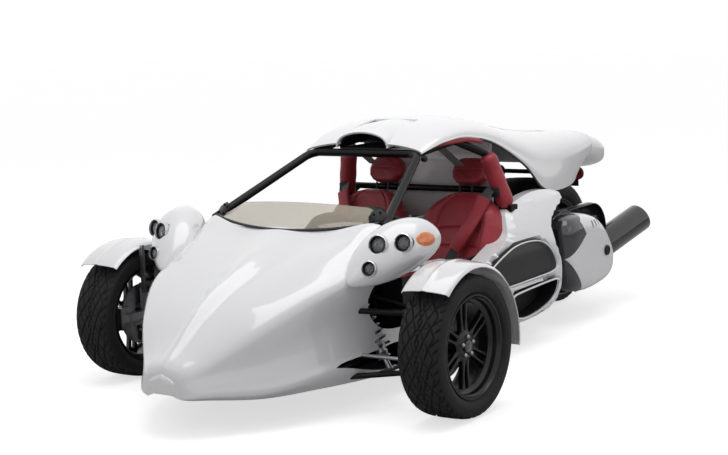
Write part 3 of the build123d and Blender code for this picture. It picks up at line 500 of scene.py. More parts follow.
# for each row: y, then lip, lip top, waist, flank, shoulder, panel, valley as (x, z), then the crest's z
noseRows = [
    (-0.791, (0.048, 0.178), (0.064, 0.184), (0.068, 0.196), (0.068, 0.214), (0.064, 0.230), (0.042, 0.246),
     (0.018, 0.254), 0.260),
    (-0.775, (0.096, 0.160), (0.120, 0.172), (0.122, 0.190), (0.114, 0.228), (0.104, 0.260), (0.074, 0.284),
     (0.030, 0.294), 0.302),
    (-0.700, (0.146, 0.148), (0.196, 0.170), (0.194, 0.206), (0.182, 0.252), (0.172, 0.300), (0.112, 0.334),
     (0.036, 0.346), 0.356),
    (-0.520, (0.290, 0.128), (0.350, 0.166), (0.342, 0.216), (0.326, 0.300), (0.332, 0.424), (0.214, 0.464),
     (0.060, 0.472), 0.492),
    (-0.300, (0.400, 0.128), (0.466, 0.200), (0.452, 0.252), (0.438, 0.370), (0.462, 0.534), (0.322, 0.580),
     (0.112, 0.576), 0.601),
    (-0.040, (0.488, 0.128), (0.528, 0.206), (0.516, 0.264), (0.504, 0.400), (0.524, 0.572), (0.420, 0.690),
     (0.190, 0.684), 0.708),
    (0.150, (0.506, 0.128), (0.516, 0.196), (0.508, 0.256), (0.518, 0.400), (0.534, 0.570), (0.468, 0.744),
     (0.300, 0.752), 0.764),
    (0.400, (0.506, 0.128), (0.514, 0.200), (0.510, 0.262), (0.526, 0.390), (0.530, 0.484), (0.470, 0.520),
     (0.300, 0.560), 0.600),
    (0.640, (0.500, 0.128), (0.506, 0.200), (0.508, 0.262), (0.530, 0.380), (0.536, 0.470), (0.470, 0.510),
     (0.300, 0.550), 0.590),
]


def noseSection(row):
    y, crest = row[0], row[-1]
    half = [(x, y, z) for x, z in row[1:-1]]
    return [(-x, py, z) for x, py, z in half] + [(0, y, crest)] + half[::-1]


noseGrid = smoothGrid([noseSection(r) for r in noseRows], noseSizes["alongSteps"], noseSizes["acrossSteps"])
# a low spine down the hood and a shallow valley on each side of it
span = np.clip((noseGrid[:, :, 1] + 0.76) * 9, 0, 1) * np.clip((-0.10 - noseGrid[:, :, 1]) * 9, 0, 1)
valleyX = np.interp(noseGrid[:, :, 1], [-0.63, -0.44, -0.21, -0.04], [0.0, 0.02, 0.08, 0.18])
away = np.abs(noseGrid[:, :, 0])
onTop = noseGrid[:, :, 2] > 0.20
spine = noseSizes["spineRise"] * np.clip(1 - away / 0.045, 0, 1)
valley = noseSizes["valleyDrop"] * np.clip(1 - np.abs(away - valleyX - 0.05) / 0.035, 0, 1)
noseGrid[:, :, 2] += span * onTop * (spine - valley)
nose = outward(gridPiece("noseSkin", noseGrid))
tipRing = [Vector(p) for p in noseGrid[0]]
tipCenter = sum(tipRing, Vector()) / len(tipRing)
tipSteps = [(0.98, 0.008), (1.0, 0.0), (0.97, -0.003), (0.86, -0.006), (0.62, -0.0085), (0.25, -0.0095)]
tipRows = [[tipCenter + (p - tipCenter) * k + Vector((0, dy, 0)) for p in tipRing] for k, dy in tipSteps]
tip = outward(gridPiece("noseTip", tipRows, closedAcross=True, capped=True))
nose = thicken(nose, noseSizes["wall"])

# openings: the cockpit from above, then the arch and the low slot in each flank
cockpitEdge = [(0.484 * math.cos(a), 0.150 + 0.128 * math.sin(a))
               for a in (math.radians(180 + 180 * k / 32) for k in range(33))] + [(0.500, 0.900), (-0.500, 0.900)]
cutters = [loopSolid("cockpitCut", [(x, y, 0.52) for x, y in cockpitEdge], [(x, y, 1.3) for x, y in cockpitEdge])]
archOutline = smoothLine([(-0.070, 0.470), (-0.030, 0.528), (0.100, 0.542), (0.380, 0.520), (0.440, 0.450),
                          (0.400, 0.360), (0.250, 0.312), (0.110, 0.312), (0.000, 0.340), (-0.052, 0.400),
                          (-0.070, 0.470)], 5)[:-1]
slotOutline = smoothLine([(-0.270, 0.218), (-0.200, 0.236), (0.060, 0.252), (0.170, 0.240), (0.205, 0.190),
                          (0.150, 0.146), (-0.020, 0.160), (-0.200, 0.205), (-0.270, 0.218)], 5)[:-1]
for outline in (archOutline, slotOutline):
    for x0, x1 in ((0.36, 0.72), (-0.72, -0.36)):
        cutters.append(prism("sideCut", [tuple(p) for p in outline], x0, x1))
cutWith(nose, cutters)
fit(joinPieces("noseSkin", [rounded(nose, 0.002, 1, 50), tip]), mats["white"], "chassis", ["nose_shell"], sharp=24)
print("nose skin ready")

# roof skin, scoop and tail
roofSizes = {"wall": 0.008, "mouthHalf": 0.128, "sealRadius": 0.0055}
# for each row: y, foot half-width and z, edge half-width and z, crown z, squareness of the arch
roofRows = [
    (0.655, 0.322, 0.990, 0.328, 0.996, 1.042, 1.9), (0.740, 0.338, 1.012, 0.342, 1.022, 1.084, 2.0),
    (0.830, 0.352, 1.030, 0.354, 1.040, 1.110, 2.2), (0.985, 0.366, 1.034, 0.366, 1.046, 1.126, 2.3),
    (1.200, 0.382, 0.986, 0.380, 1.004, 1.117, 2.3), (1.450, 0.402, 0.856, 0.396, 0.900, 1.064, 2.4),
    (1.590, 0.414, 0.732, 0.402, 0.850, 1.034, 2.4), (1.720, 0.412, 0.696, 0.400, 0.826, 1.008, 2.6),
    (1.900, 0.390, 0.690, 0.394, 0.828, 0.980, 2.8), (2.060, 0.350, 0.700, 0.386, 0.838, 0.962, 3.2),
    (2.200, 0.300, 0.736, 0.362, 0.844, 0.950, 4.2), (2.275, 0.268, 0.756, 0.346, 0.845, 0.947, 5.0),
    (2.286, 0.260, 0.764, 0.338, 0.846, 0.941, 5.0),
]


def roofSection(row):
    y, footW, footZ, edgeW, edgeZ, top, power = row
    half = [(footW, y, footZ), ((footW + edgeW) / 2 + 0.004, y, (footZ + edgeZ) / 2)]
    for k in range(9):
        a = math.pi / 2 * k / 8
        x = edgeW * math.cos(a) ** (2 / power)
        half.append((x, y, edgeZ + (top - edgeZ) * math.sin(a) ** (2 / (power * 0.9))))
    return [(-x, py, z) for x, py, z in half[:-1]] + [(0, y, top)] + half[:-1][::-1]


roofGrid = smoothGrid([roofSection(r) for r in roofRows], 8, 4)
roof = outward(gridPiece("roofSkin", roofGrid))
tailCap = newPiece("tailCap", roofGrid[-1], [tuple(range(len(roofGrid[-1])))])
roof = thicken(outward(joinPieces("roofSkin", [roof, tailCap]), 0.0005), roofSizes["wall"])
mouthHalf = roofSizes["mouthHalf"]
cutWith(roof, [prism("mouthCut", [(0.60, 0.95), (0.945, 0.95), (0.945, 1.30), (0.60, 1.30)], -mouthHalf, mouthHalf)])


def archRow(y, halfW, base, rise, count=24):
    return [(halfW * math.cos(math.pi * k / count), y, base + rise * math.sin(math.pi * k / count) ** 0.8)
            for k in range(count + 1)]


humpRows = [archRow(0.648, 0.146, 1.016, 0.074), archRow(0.76, 0.160, 1.030, 0.086),
            archRow(0.90, 0.176, 1.046, 0.077), archRow(1.06, 0.160, 1.066, 0.057), archRow(1.20, 0.08, 1.090, 0.022)]
hump = thicken(outward(gridPiece("hump", smoothLine(humpRows, 8))), 0.007)
fit(joinPieces("roofSkin", [roof, hump]), mats["white"], "chassis", ["roof_shell"], sharp=35)
linerRows = [archRow(0.664, 0.136, 1.010, 0.071), archRow(0.760, 0.142, 1.016, 0.074),
             archRow(0.86, 0.120, 1.030, 0.060), archRow(0.90, 0.03, 1.040, 0.02)]
liner = thicken(outward(gridPiece("scoopLiner", smoothLine(linerRows, 6))), 0.003)
base = block("scoopFloor", (-mouthHalf, mouthHalf), (0.66, 0.92), (1.008, 1.014))
fit(joinPieces("scoopLiner", [liner, base]), mats["plastic"], "chassis")

# for each ring of the lobe: y, half-width, z, half-height
lobeRows = [(2.2866, 0.250, 0.852, 0.070), (2.330, 0.272, 0.848, 0.080), (2.400, 0.288, 0.838, 0.090),
            (2.480, 0.292, 0.822, 0.096), (2.550, 0.280, 0.804, 0.090), (2.600, 0.246, 0.792, 0.074),
            (2.628, 0.190, 0.786, 0.052), (2.640, 0.110, 0.784, 0.028), (2.643, 0.030, 0.784, 0.008)]


def roundedRing(y, w, z, h, power=2.8, count=56):
    return [(w * math.copysign(abs(c) ** (2 / power), c), y, z + h * math.copysign(abs(s) ** (2 / power), s))
            for c, s in around(count)]


lobe = outward(gridPiece("tailLobe", smoothLine([roundedRing(*r) for r in lobeRows], 5), closedAcross=True,
                         capped=True))
fit(lobe, mats["white"], "chassis", ["tail_lobe"], sharp=40)
for word, side in (("Left", 1), ("Right", -1)):
    col = 0 if side < 0 else -1
    edge = [tuple(row[col]) for row in roofGrid if 1.06 < row[col][1] < 1.68]
    fit(tube("roofSeal" + word, edge, roofSizes["sealRadius"], 8), mats["seal"], "chassis")
print("roof and tail ready")

# lamp pods
podSizes = {"sides": 56, "lampAxis": (0.16, -0.96, 0.22), "markerHalf": (0.042, 0.029), "markerRise": 0.006}
# for each ring: y, x, z, half-width, half-height
podRows = [
    (-0.200, 0.512, 0.558, 0.006, 0.006), (-0.186, 0.518, 0.568, 0.030, 0.026),
    (-0.154, 0.531, 0.590, 0.066, 0.054), (-0.110, 0.550, 0.615, 0.098, 0.080),
    (-0.050, 0.574, 0.645, 0.121, 0.101), (0.010, 0.600, 0.671, 0.122, 0.111),
    (0.073, 0.618, 0.687, 0.112, 0.107), (0.129, 0.634, 0.696, 0.096, 0.094),
    (0.173, 0.644, 0.696, 0.076, 0.075), (0.205, 0.650, 0.695, 0.055, 0.054),
    (0.225, 0.653, 0.694, 0.034, 0.033), (0.235, 0.654, 0.693, 0.008, 0.007),
]
# each lamp's place in front of the pod and its radius
lampRows = [(0.592, -0.093, 0.705, 0.036), (0.679, -0.038, 0.709, 0.034), (0.586, -0.155, 0.616, 0.028)]


def ellipseRing(row, count):
    y, x, z, a, b = row
    return [(x + a * c, y, z + b * s) for c, s in around(count)]


podRing = smoothLine([ellipseRing(r, podSizes["sides"]) for r in podRows], 6)
podSkin = outward(gridPiece("lampPod", podRing, closedAcross=True, capped=True))
axis = Vector(podSizes["lampAxis"]).normalized()


def onSkin(skin, point, outwards):
    outwards = Vector(outwards).normalized()
    found, place = skin.ray_cast(Vector(point) + outwards * 0.2, -outwards)[:2]
    return place if found else Vector(point)


# a low dome that follows the skin under it
def patchOn(name, skin, center, outwards, halfW, halfH, rise):
    outwards = Vector(outwards).normalized()
    across = Vector((0, 0, 1)).cross(outwards).normalized()
    up = outwards.cross(across)
    rows = []
    for k, lift in ((1.0, -0.006), (1.0, 0.001), (0.96, 0.30), (0.85, 0.55), (0.65, 0.80), (0.40, 0.94), (0.05, 1.0)):
        ring = []
        for c, s in around(40):
            spot = Vector(center) + across * (halfW * k * c) + up * (halfH * k * s)
            ring.append(onSkin(skin, spot, outwards) + outwards * (lift * rise if lift > 0.01 else lift))
        rows.append(ring)
    return outward(gridPiece(name, rows, closedAcross=True, capped=True))


lampSeats = [(onSkin(podSkin, (x, y, z), axis), r) for x, y, z, r in lampRows]
marker = patchOn("marker", podSkin, (0.716, 0.070, 0.711), (0.60, -0.78, 0.18), *podSizes["markerHalf"],
                 podSizes["markerRise"])
podCutters = []
for seat, r in lampSeats:
    start = seat - axis * 0.058
    podCutters.append(outward(tube("lampCut", [start, start + axis * 0.30], r + 0.001, 40)))
cutWith(podSkin, podCutters)
# profiles as (along the axis, share of the lamp's radius), with the number of sides
lampShapes = [
    ("bezel", 40, [(-0.010, 1.00), (0.002, 1.02), (0.0065, 1.07), (0.004, 1.17), (-0.012, 1.21), (-0.020, 1.10)]),
    ("dark", 40, [(-0.050, 0.98), (-0.004, 0.99), (-0.002, 0.93), (-0.012, 0.88), (-0.050, 0.86)]),
    ("cup", 40, [(-0.012, 0.86), (-0.018, 0.80), (-0.036, 0.62), (-0.044, 0.44), (-0.052, 0.44), (-0.052, 0.84)]),
    ("cup", 32, [(-0.020, 0.55), (-0.014, 0.52), (-0.016, 0.47), (-0.030, 0.46), (-0.030, 0.55)]),
    ("glass", 40, [(0.000, 0), (-0.001, 0.3), (-0.004, 0.6), (-0.009, 0.84), (-0.013, 0.90), (-0.0145, 0.89),
                   (-0.0105, 0.83), (-0.0055, 0.6), (-0.0025, 0.3), (-0.0015, 0)]),
    ("glass", 32, [(-0.014, 0), (-0.016, 0.22), (-0.022, 0.38), (-0.034, 0.44), (-0.044, 0.40), (-0.050, 0)]),
]
lampParts = {"bezel": [], "dark": [], "cup": [], "glass": []}
for seat, r in lampSeats:
    for label, sides, profile in lampShapes:
        profile = [(t, max(r * k, nearAxis)) for t, k in profile]
        lampParts[label].append(lathe(label, profile, seat + axis * 0.006, axis, sides))
fitBoth("lampPods", podSkin, mats["white"], ["lamp_pods"], sharp=40)
fitBoth("lampBezels", outward(joinPieces("bezels", lampParts["bezel"])), mats["silver"])
for label, key, replaced in (("cup", "mirrorCup", ["headlamps"]), ("dark", "plastic", []), ("glass", "lens", [])):
    one = outward(joinPieces("lamp." + label, lampParts[label]))
    fitBoth("lamps." + label, one, mats[key], replaced)
fitBoth("markerLamps", marker, mats["amber"], ["marker_lamps"])
print("lamps ready")

# windscreen with its trim and brackets
screenSizes = {"thickness": 0.004, "trimRadius": 0.0065, "boltRadius": 0.0055}


# s runs across from -1 to 1, t from the foot to the top edge
def screenPoint(s, t):
    base = (0.448 * s, 0.018 + 0.104 * s * s, 0.7175 + 0.040 * s * s)
    top = (0.408 * s, 0.163 + 0.050 * s * s, 0.826 - 0.022 * s * s - 0.03 * max(abs(s) - 0.86, 0) * 8)
    bulge = 0.008 * math.sin(math.pi * t)
    return (base[0] + (top[0] - base[0]) * t, base[1] + (top[1] - base[1]) * t - bulge,
            base[2] + (top[2] - base[2]) * t)


screenGrid = [[screenPoint(-1 + 2 * j / 48, i / 10) for j in range(49)] for i in range(11)]
screen = thicken(outward(gridPiece("screen", screenGrid)), screenSizes["thickness"])
fit(screen, mats["smoke"], "chassis", ["windscreen"], sharp=60)
trimLine = [Vector(screenPoint(-1 + j / 24, -0.02)) + Vector((0, -0.004, 0.010)) * (1 - (j / 24 - 1) ** 2)
            for j in range(49)]
fit(tube("screenTrim", trimLine, screenSizes["trimRadius"], 10), mats["seal"], "chassis")
bracketPlace, n = Vector((0.425, 0.150, 0.775)), Vector((0.25, -0.62, 0.55)).normalized()
up = Vector((-0.35, 0.55, 0.75))
up = (up - n * up.dot(n)).normalized()
side = up.cross(n)


def onBracket(u, v, depth):
    return bracketPlace + side * u + up * v + n * depth


bracketShape = [(-0.036, -0.030), (0.030, -0.034), (0.040, 0.010), (0.014, 0.040), (-0.022, 0.034), (-0.040, 0.004)]
boltPlaces = [(-0.022, -0.018), (0.020, -0.020), (0.012, 0.022), (-0.018, 0.018)]
plate = loopSolid("bracket", *[[onBracket(u, v, depth) for u, v in bracketShape] for depth in (0.004, 0.010)])
bolts = [outward(tube("bolt", [onBracket(u, v, 0.008), onBracket(u, v, 0.016)], screenSizes["boltRadius"], 12))
         for u, v in boltPlaces]
bracket = joinPieces("screenBracket", [rounded(plate, 0.002)] + bolts)
fitBoth("screenBrackets", bracket, mats["frame"])
print("screen ready")

# side pods
sideSizes = {"wall": 0.008, "roll": 0.030, "spacing": 0.022, "insertDrop": 0.0125, "trayDrop": 0.010}


# rounds a loop by cutting its corners again and again
def softLoop(points, rounds=3):
    pts = [Vector(p) for p in points]
    for _ in range(rounds):
        pts = [q for i in range(len(pts)) for q in (pts[i] * 0.75 + pts[(i + 1) % len(pts)] * 0.25,
                                                    pts[i] * 0.25 + pts[(i + 1) % len(pts)] * 0.75)]
    return [tuple(p) for p in pts]


# the flank's half-width over height
taperLine = smoothLine([(0.100, 0.540), (0.200, 0.576), (0.300, 0.590), (0.400, 0.592), (0.500, 0.583),
                        (0.600, 0.548), (0.680, 0.507), (0.760, 0.462)], 8)


def podFlank(z):
    return float(np.interp(z, taperLine[:, 0], taperLine[:, 1]))


def podInner(z):
    return float(np.interp(z, [0.13, 0.5, 0.75], [0.470, 0.470, 0.400]))


podOutline = softLoop([(0.652, 0.140), (0.652, 0.420), (0.800, 0.484), (0.920, 0.522), (1.045, 0.556),
                       (1.078, 0.620), (1.112, 0.680), (1.250, 0.708), (1.430, 0.732), (1.600, 0.722),
                       (1.700, 0.690), (1.600, 0.640), (1.450, 0.590), (1.424, 0.520), (1.478, 0.400),
                       (1.490, 0.280), (1.430, 0.170), (1.300, 0.134), (1.000, 0.136)])
insertLoop = softLoop([(0.700, 0.365), (0.700, 0.410), (0.810, 0.462), (0.920, 0.498), (1.060, 0.530),
                       (1.260, 0.524), (1.350, 0.478), (1.418, 0.390), (1.390, 0.352), (1.180, 0.350),
                       (0.900, 0.346)])
ductLoop = softLoop([(0.970, 0.296), (1.060, 0.304), (1.300, 0.312), (1.424, 0.312), (1.430, 0.276),
                     (1.385, 0.212), (1.220, 0.166), (1.060, 0.166), (0.985, 0.226)])
panel = flankPanel("sidePanel", podOutline, [insertLoop, ductLoop], podFlank, sideSizes["spacing"],
                   sideSizes["roll"], sideSizes["wall"])
outerEdge = [(podFlank(z) - sideSizes["roll"], y, z) for y, z in podOutline]
ledge = [outerEdge, [(podInner(z), y, z) for _, y, z in outerEdge]]
band = facingFrom(outward(gridPiece("ledge", ledge, closedAcross=True)), (0.5, 1.1, 0.4))
sidePod = joinPieces("sidePod", [panel, thicken(band, 0.006)])
fitBoth("sidePods", sidePod, mats["white"], ["side_pods"], sharp=30)
grow = [((y - 1.08) * 1.035 + 1.08, (z - 0.43) * 1.10 + 0.43) for y, z in insertLoop]
insert = flankPanel("insert", grow, [], lambda z: podFlank(z) - sideSizes["insertDrop"], 0.03, 0, 0.003)
fitBoth("podInserts", insert, mats["lined"], ["pod_inserts"])
tray = [[(podFlank(z) - sideSizes["trayDrop"], y, z) for y, z in ductLoop], [(0.488, y, z) for y, z in ductLoop]]
tray = thicken(outward(gridPiece("tray", tray, closedAcross=True)), 0.004)
back = flankPanel("trayBack", ductLoop, [], lambda z: 0.490, 0.05, 0, 0.004)
fitBoth("podDucts", joinPieces("tray", [tray, back]), mats["plastic"], ["pod_ducts"])
podTrims = [tube("trim", [(podFlank(z) + 0.001, y, z) for y, z in loop], radius, 8, closed=True)
            for loop, radius in ((insertLoop, 0.0035), (ductLoop, 0.005))]
fitBoth("podTrims", joinPieces("podTrim", podTrims), mats["white"])
print("side pods ready")

# fenders
fenderSizes = {"radius": 0.3335, "crown": 0.014, "crease": 0.005, "thickness": 0.0045, "inX": 0.774, "outX": 1.000,
               "startDeg": -10, "sweepDeg": 141, "frontNarrow": 0.120, "edgeDrop": 0.010}


def fenderPiece():
    rows = []
    for i in range(57):
        deg = fenderSizes["startDeg"] + fenderSizes["sweepDeg"] * i / 56
        a = math.radians(deg)
        x0, x1 = fenderSizes["inX"], fenderSizes["outX"]
        x0 += max(0.0, (34 - deg) / 44) ** 1.4 * fenderSizes["frontNarrow"]
        row = []
        for j in range(31):
            u = j / 30
            k = abs(2 * u - 1)  # 0 in the middle, 1 at both edges
            r = fenderSizes["radius"] + fenderSizes["crown"] * (1 - k ** 2.2)
            r += fenderSizes["crease"] * max(0.0, 1 - k / 0.16) * min(1.0, max(0.0, (deg - 40) / 60))
            r -= fenderSizes["edgeDrop"] * max(0.0, (k - 0.9) / 0.1) ** 1.5
            row.append((x0 + (x1 - x0) * u, r * math.cos(a), frontHub[2] + r * math.sin(a)))
        rows.append(row)
    skin = outward(gridPiece("fender", rows))
    skin = facingFrom(skin, frontHub, len(skin.data.polygons) // 2)
    return rounded(thicken(skin, fenderSizes["thickness"]), 0.0012, 1, 60)


fitPair(fenderPiece(), "fender", mats["white"], "knuckle", "fender", sharp=28)
print("fenders ready")

# tyres
treadSizes = {"depth": 0.0065, "half": 0.030, "steps": 60, "turns": 720}
wheelSizes = {"front": {"radius": 0.2955, "width": 0.205, "bead": 0.2032, "rim": 0.178, "pitches": 22},
              "rear": {"radius": 0.332, "width": 0.295, "bead": 0.2286, "rim": 0.267, "pitches": 24}}


# winding grooves that meet in long cells, with slots towards the shoulders; s is -1 to 1 across
def treadDepth(turn, s, pitches):
    m = np.abs(s)
    ph = turn * pitches + 0.45 * m
    swing = np.arcsin(0.96 * np.sin(2 * np.pi * ph)) * 2 / np.pi
    groove = np.zeros_like(m)
    for k, width in ((0, 0.9), (1, 1.15), (2, 1.15), (3, 0.8)):
        center = 0.235 * k + (0.112 if k % 2 else -0.112) * swing
        for d in (np.abs(m - center), np.abs(m + center)):
            groove = np.maximum(groove, np.clip((1.25 * width - d / treadSizes["half"]) * 2.0, 0, 1))
    for offset, inner, outer, half in ((0.25, 0.66, 1.1, 0.085), (0.75, 0.80, 1.1, 0.07), (0.5, 0.30, 0.44, 0.05)):
        cut = np.abs(((turn * pitches + offset + 1.3 * m) % 1.0) - 0.5)
        groove = np.maximum(groove, np.clip((half - cut) * 22, 0, 1) * np.clip((m - inner) * 14, 0, 1)
                            * np.clip((outer - m) * 14, 0, 1))
    return groove * treadSizes["depth"]


def tyrePiece(name, sizes):
    radius, beadR, half, seat = sizes["radius"], sizes["bead"], sizes["width"] / 2, sizes["rim"] / 2 - 0.0063
    rise = radius - beadR
    wallLine = smoothLine([(seat, beadR + 0.0005), (seat + 0.001, beadR + 0.014), (half - 0.006, beadR + rise * 0.26),
                           (half - 0.0005, beadR + rise * 0.46), (half - 0.001, beadR + rise * 0.62),
                           (half - 0.004, radius - rise * 0.22), (half - 0.011, radius - 0.011)], 4)
    wall = [tuple(p) for p in wallLine[:-1]]
    steps, turns = treadSizes["steps"], treadSizes["turns"]
    sLine = [1 - 2 * j / steps for j in range(steps + 1)]
    tread = [((half - 0.011) * s, radius - (0.0085 * abs(s) ** 5 + 0.0016 * s * s)) for s in sLine]
    inner = [(-seat + 0.012, beadR + 0.0004), (0, beadR + 0.0004), (seat - 0.012, beadR + 0.0004)]
    profile = np.array(wall + tread + [(-t, r) for t, r in wall][::-1] + inner)
    across, out = profile[:, 0], profile[:, 1]
    isTread, sRow = np.zeros(len(profile), bool), np.zeros(len(profile))
    isTread[len(wall):len(wall) + steps + 1] = True
    sRow[isTread] = sLine
    # fine ribs run round the side walls
    ribs = np.where(isTread, 0, 0.0007 * np.clip(np.sin(out * 900), 0, 1)) * (out > beadR + 0.02)
    grid = np.zeros((turns, len(profile), 3))
    for i in range(turns):
        turn = i / turns
        a = 2 * math.pi * turn
        r = out - treadDepth(turn, sRow, sizes["pitches"]) * isTread
        grid[i] = np.stack([across + np.sign(across) * ribs, r * math.cos(a), r * math.sin(a)], axis=1)
    return outward(gridPiece(name, grid, closedAcross=True, closedAlong=True))


fitPair(moved(tyrePiece("tyreLeft", wheelSizes["front"]), frontHub), "tyre", mats["tyre"], "wheel", "front_tyre",
        sharp=50)
rearTyre = moved(tyrePiece("tyreRear", wheelSizes["rear"]), rearHub)
fit(rearTyre, mats["tyre"], "wheel_rear", ["rear_tyre"], sharp=50)
print("tyres ready")

# repeats
# copies of a source along a line and round an axis, by Geometry Nodes, turned into one plain mesh
def repeated(name, source, count, material, spin=(0, 0, 0), step=(0, 0, 0)):
    tree = bpy.data.node_groups.new(name + "Tree", "GeometryNodeTree")
    face = tree.interface
    face.new_socket("Geometry", in_out="OUTPUT", socket_type="NodeSocketGeometry")
    countSocket = face.new_socket("Count", in_out="INPUT", socket_type="NodeSocketInt")
    spinSocket = face.new_socket("Spin", in_out="INPUT", socket_type="NodeSocketVector")
    stepSocket = face.new_socket("Step", in_out="INPUT", socket_type="NodeSocketVector")
    given = tree.nodes.new("NodeGroupInput").outputs
    points = nodeOf(tree, "GeometryNodeMeshLine", "Mesh", {"Count": given["Count"], "Offset": given["Step"]})
    index = nodeOf(tree, "GeometryNodeInputIndex", 0, {})
    turned = nodeOf(tree, "ShaderNodeVectorMath", "Vector", {0: given["Spin"], "Scale": index}, operation="SCALE")
    one = nodeOf(tree, "GeometryNodeObjectInfo", "Geometry", {"Object": source})
    placed = nodeOf(tree, "GeometryNodeInstanceOnPoints", "Instances",
                    {"Points": points, "Instance": one, "Rotation": turned})
    real = nodeOf(tree, "GeometryNodeRealizeInstances", "Geometry", {"Geometry": placed})
    painted = nodeOf(tree, "GeometryNodeSetMaterial", "Geometry", {"Geometry": real, "Material": material})
    fill(tree, tree.nodes.new("NodeGroupOutput"), {"Geometry": painted})
    host = newPiece(name, [], [])
    pattern = host.modifiers.new("pattern", "NODES")
    pattern.node_group = tree
    pattern[countSocket.identifier] = count
    pattern[spinSocket.identifier] = tuple(spin)
    pattern[stepSocket.identifier] = tuple(step)
    evaluated(host)
    bpy.data.objects.remove(source)
    return host


# rims
rimSizes = {"spokes": 6, "nuts": 5, "spokeWidth": 0.0125, "nutCircle": 0.040, "nutRadius": 0.0095, "capRadius": 0.027}


# where the spokes' faces stand, out from the middle of the rim
def rimFace(sizes):
    return min(0.048, sizes["rim"] / 2 - 0.034)


def rimPiece(name, sizes, hubR, bore, hubBack):
    h, r, face = sizes["rim"] / 2, sizes["bead"], rimFace(sizes)
    backEdge = [(-h + 0.032, r - 0.008), (-h + 0.022, r - 0.001), (-h + 0.006, r), (-h + 0.0053, r + 0.0085),
                (-h + 0.003, r + 0.0098), (-h, r + 0.009), (-h, r + 0.003), (-h + 0.010, r - 0.006),
                (-h + 0.030, r - 0.013)]
    frontEdge = [(h, r + 0.003), (h, r + 0.009), (h - 0.003, r + 0.0098), (h - 0.0053, r + 0.0085), (h - 0.006, r),
                 (h - 0.022, r - 0.001), (h - 0.032, r - 0.008)]
    dish = [(face - 0.024, r - 0.0155), (face - 0.014, r - 0.026), (face - 0.002, r - 0.028),
            (face + 0.004, r - 0.022), (face + 0.010, r - 0.012), (h - 0.014, r - 0.008), (h - 0.008, r - 0.001)]
    barrel = lathe("barrel", frontEdge + backEdge + dish, (0, 0, 0), (1, 0, 0), 128)
    hub = lathe("hub", [(face + 0.002, bore), (face + 0.004, 0.046), (face, 0.060), (face - 0.006, hubR),
                        (face - 0.030, hubR), (face - 0.036, hubR - 0.006), (-hubBack, hubR - 0.010),
                        (-hubBack, bore)], (0, 0, 0), (1, 0, 0), 64)
    # one spoke from the hub to the barrel, then its twin beside it
    rows = []
    for k in range(15):
        out = hubR - 0.008 + (r - 0.020 - hubR + 0.008) * k / 14
        flare = 0.006 * (abs(k - 7) / 7) ** 3
        mid = 0.0135 + 0.0075 * k / 14
        w = rimSizes["spokeWidth"] / 2 + flare
        top = face - 0.001 - 0.004 * math.sin(math.pi * k / 14)
        rows.append([(top - 0.022, mid - w * 1.15, out), (top - 0.004, mid - w, out), (top, mid - w * 0.6, out),
                     (top, mid + w * 0.6, out), (top - 0.004, mid + w, out), (top - 0.022, mid + w * 1.15, out)])
    spoke = outward(gridPiece("spoke", rows, closedAcross=True, capped=True))
    pair = joinPieces("spokePair", [spoke, mirrored(spoke, "twin", (0, 1, 0))])
    turn = (2 * math.pi / rimSizes["spokes"], 0, 0)
    spokes = repeated(name + "Spokes", pair, rimSizes["spokes"], mats["rim"], spin=turn)
    return joinPieces(name, [outward(barrel), outward(hub), spokes])


def nutRing(name, face):
    r, capR = rimSizes["nutRadius"], rimSizes["capRadius"]
    nut = lathe("nut", [(face, nearAxis), (face, r), (face + 0.012, r * 0.94), (face + 0.016, r * 0.62),
                        (face + 0.017, nearAxis)], (0, 0, rimSizes["nutCircle"]), (1, 0, 0), 12)
    turn = (2 * math.pi / rimSizes["nuts"], 0, 0)
    nuts = repeated(name, outward(nut), rimSizes["nuts"], mats["steel"], spin=turn)
    cap = lathe("cap", [(face - 0.004, nearAxis), (face - 0.004, capR), (face + 0.008, capR),
                        (face + 0.013, capR * 0.9), (face + 0.016, capR * 0.4), (face + 0.0165, nearAxis)],
                (0, 0, 0), (1, 0, 0), 48)
    return nuts, outward(cap)


frontRim = rimPiece("rimLeft", wheelSizes["front"], 0.066, 0.018, 0.030)
nuts, cap = nutRing("nutsLeft", rimFace(wheelSizes["front"]))
for one, label, key, replaced in ((frontRim, "rim", "rim", "front_rim"), (nuts, "nuts", "steel", None),
                                  (cap, "cap", "gloss", None)):
    fitPair(moved(one, frontHub), label, mats[key], "wheel", replaced)
rearRim = moved(rimPiece("rimRear", wheelSizes["rear"], 0.070, 0.0145, 0.048), rearHub)
fit(rearRim, mats["rim"], "wheel_rear", ["rear_rim"])
print("rims ready")

# seats, headrests and pads
seatSizes = {"apart": 0.272, "headApart": 0.245, "seam": 0.0055, "seamWidth": 0.0042, "ripple": 0.0009}


# a smooth step from 0 to 1 between a and b
def stepUp(a, b, value):
    t = np.clip((value - a) / (b - a), 0, 1)
    return t * t * (3 - 2 * t)


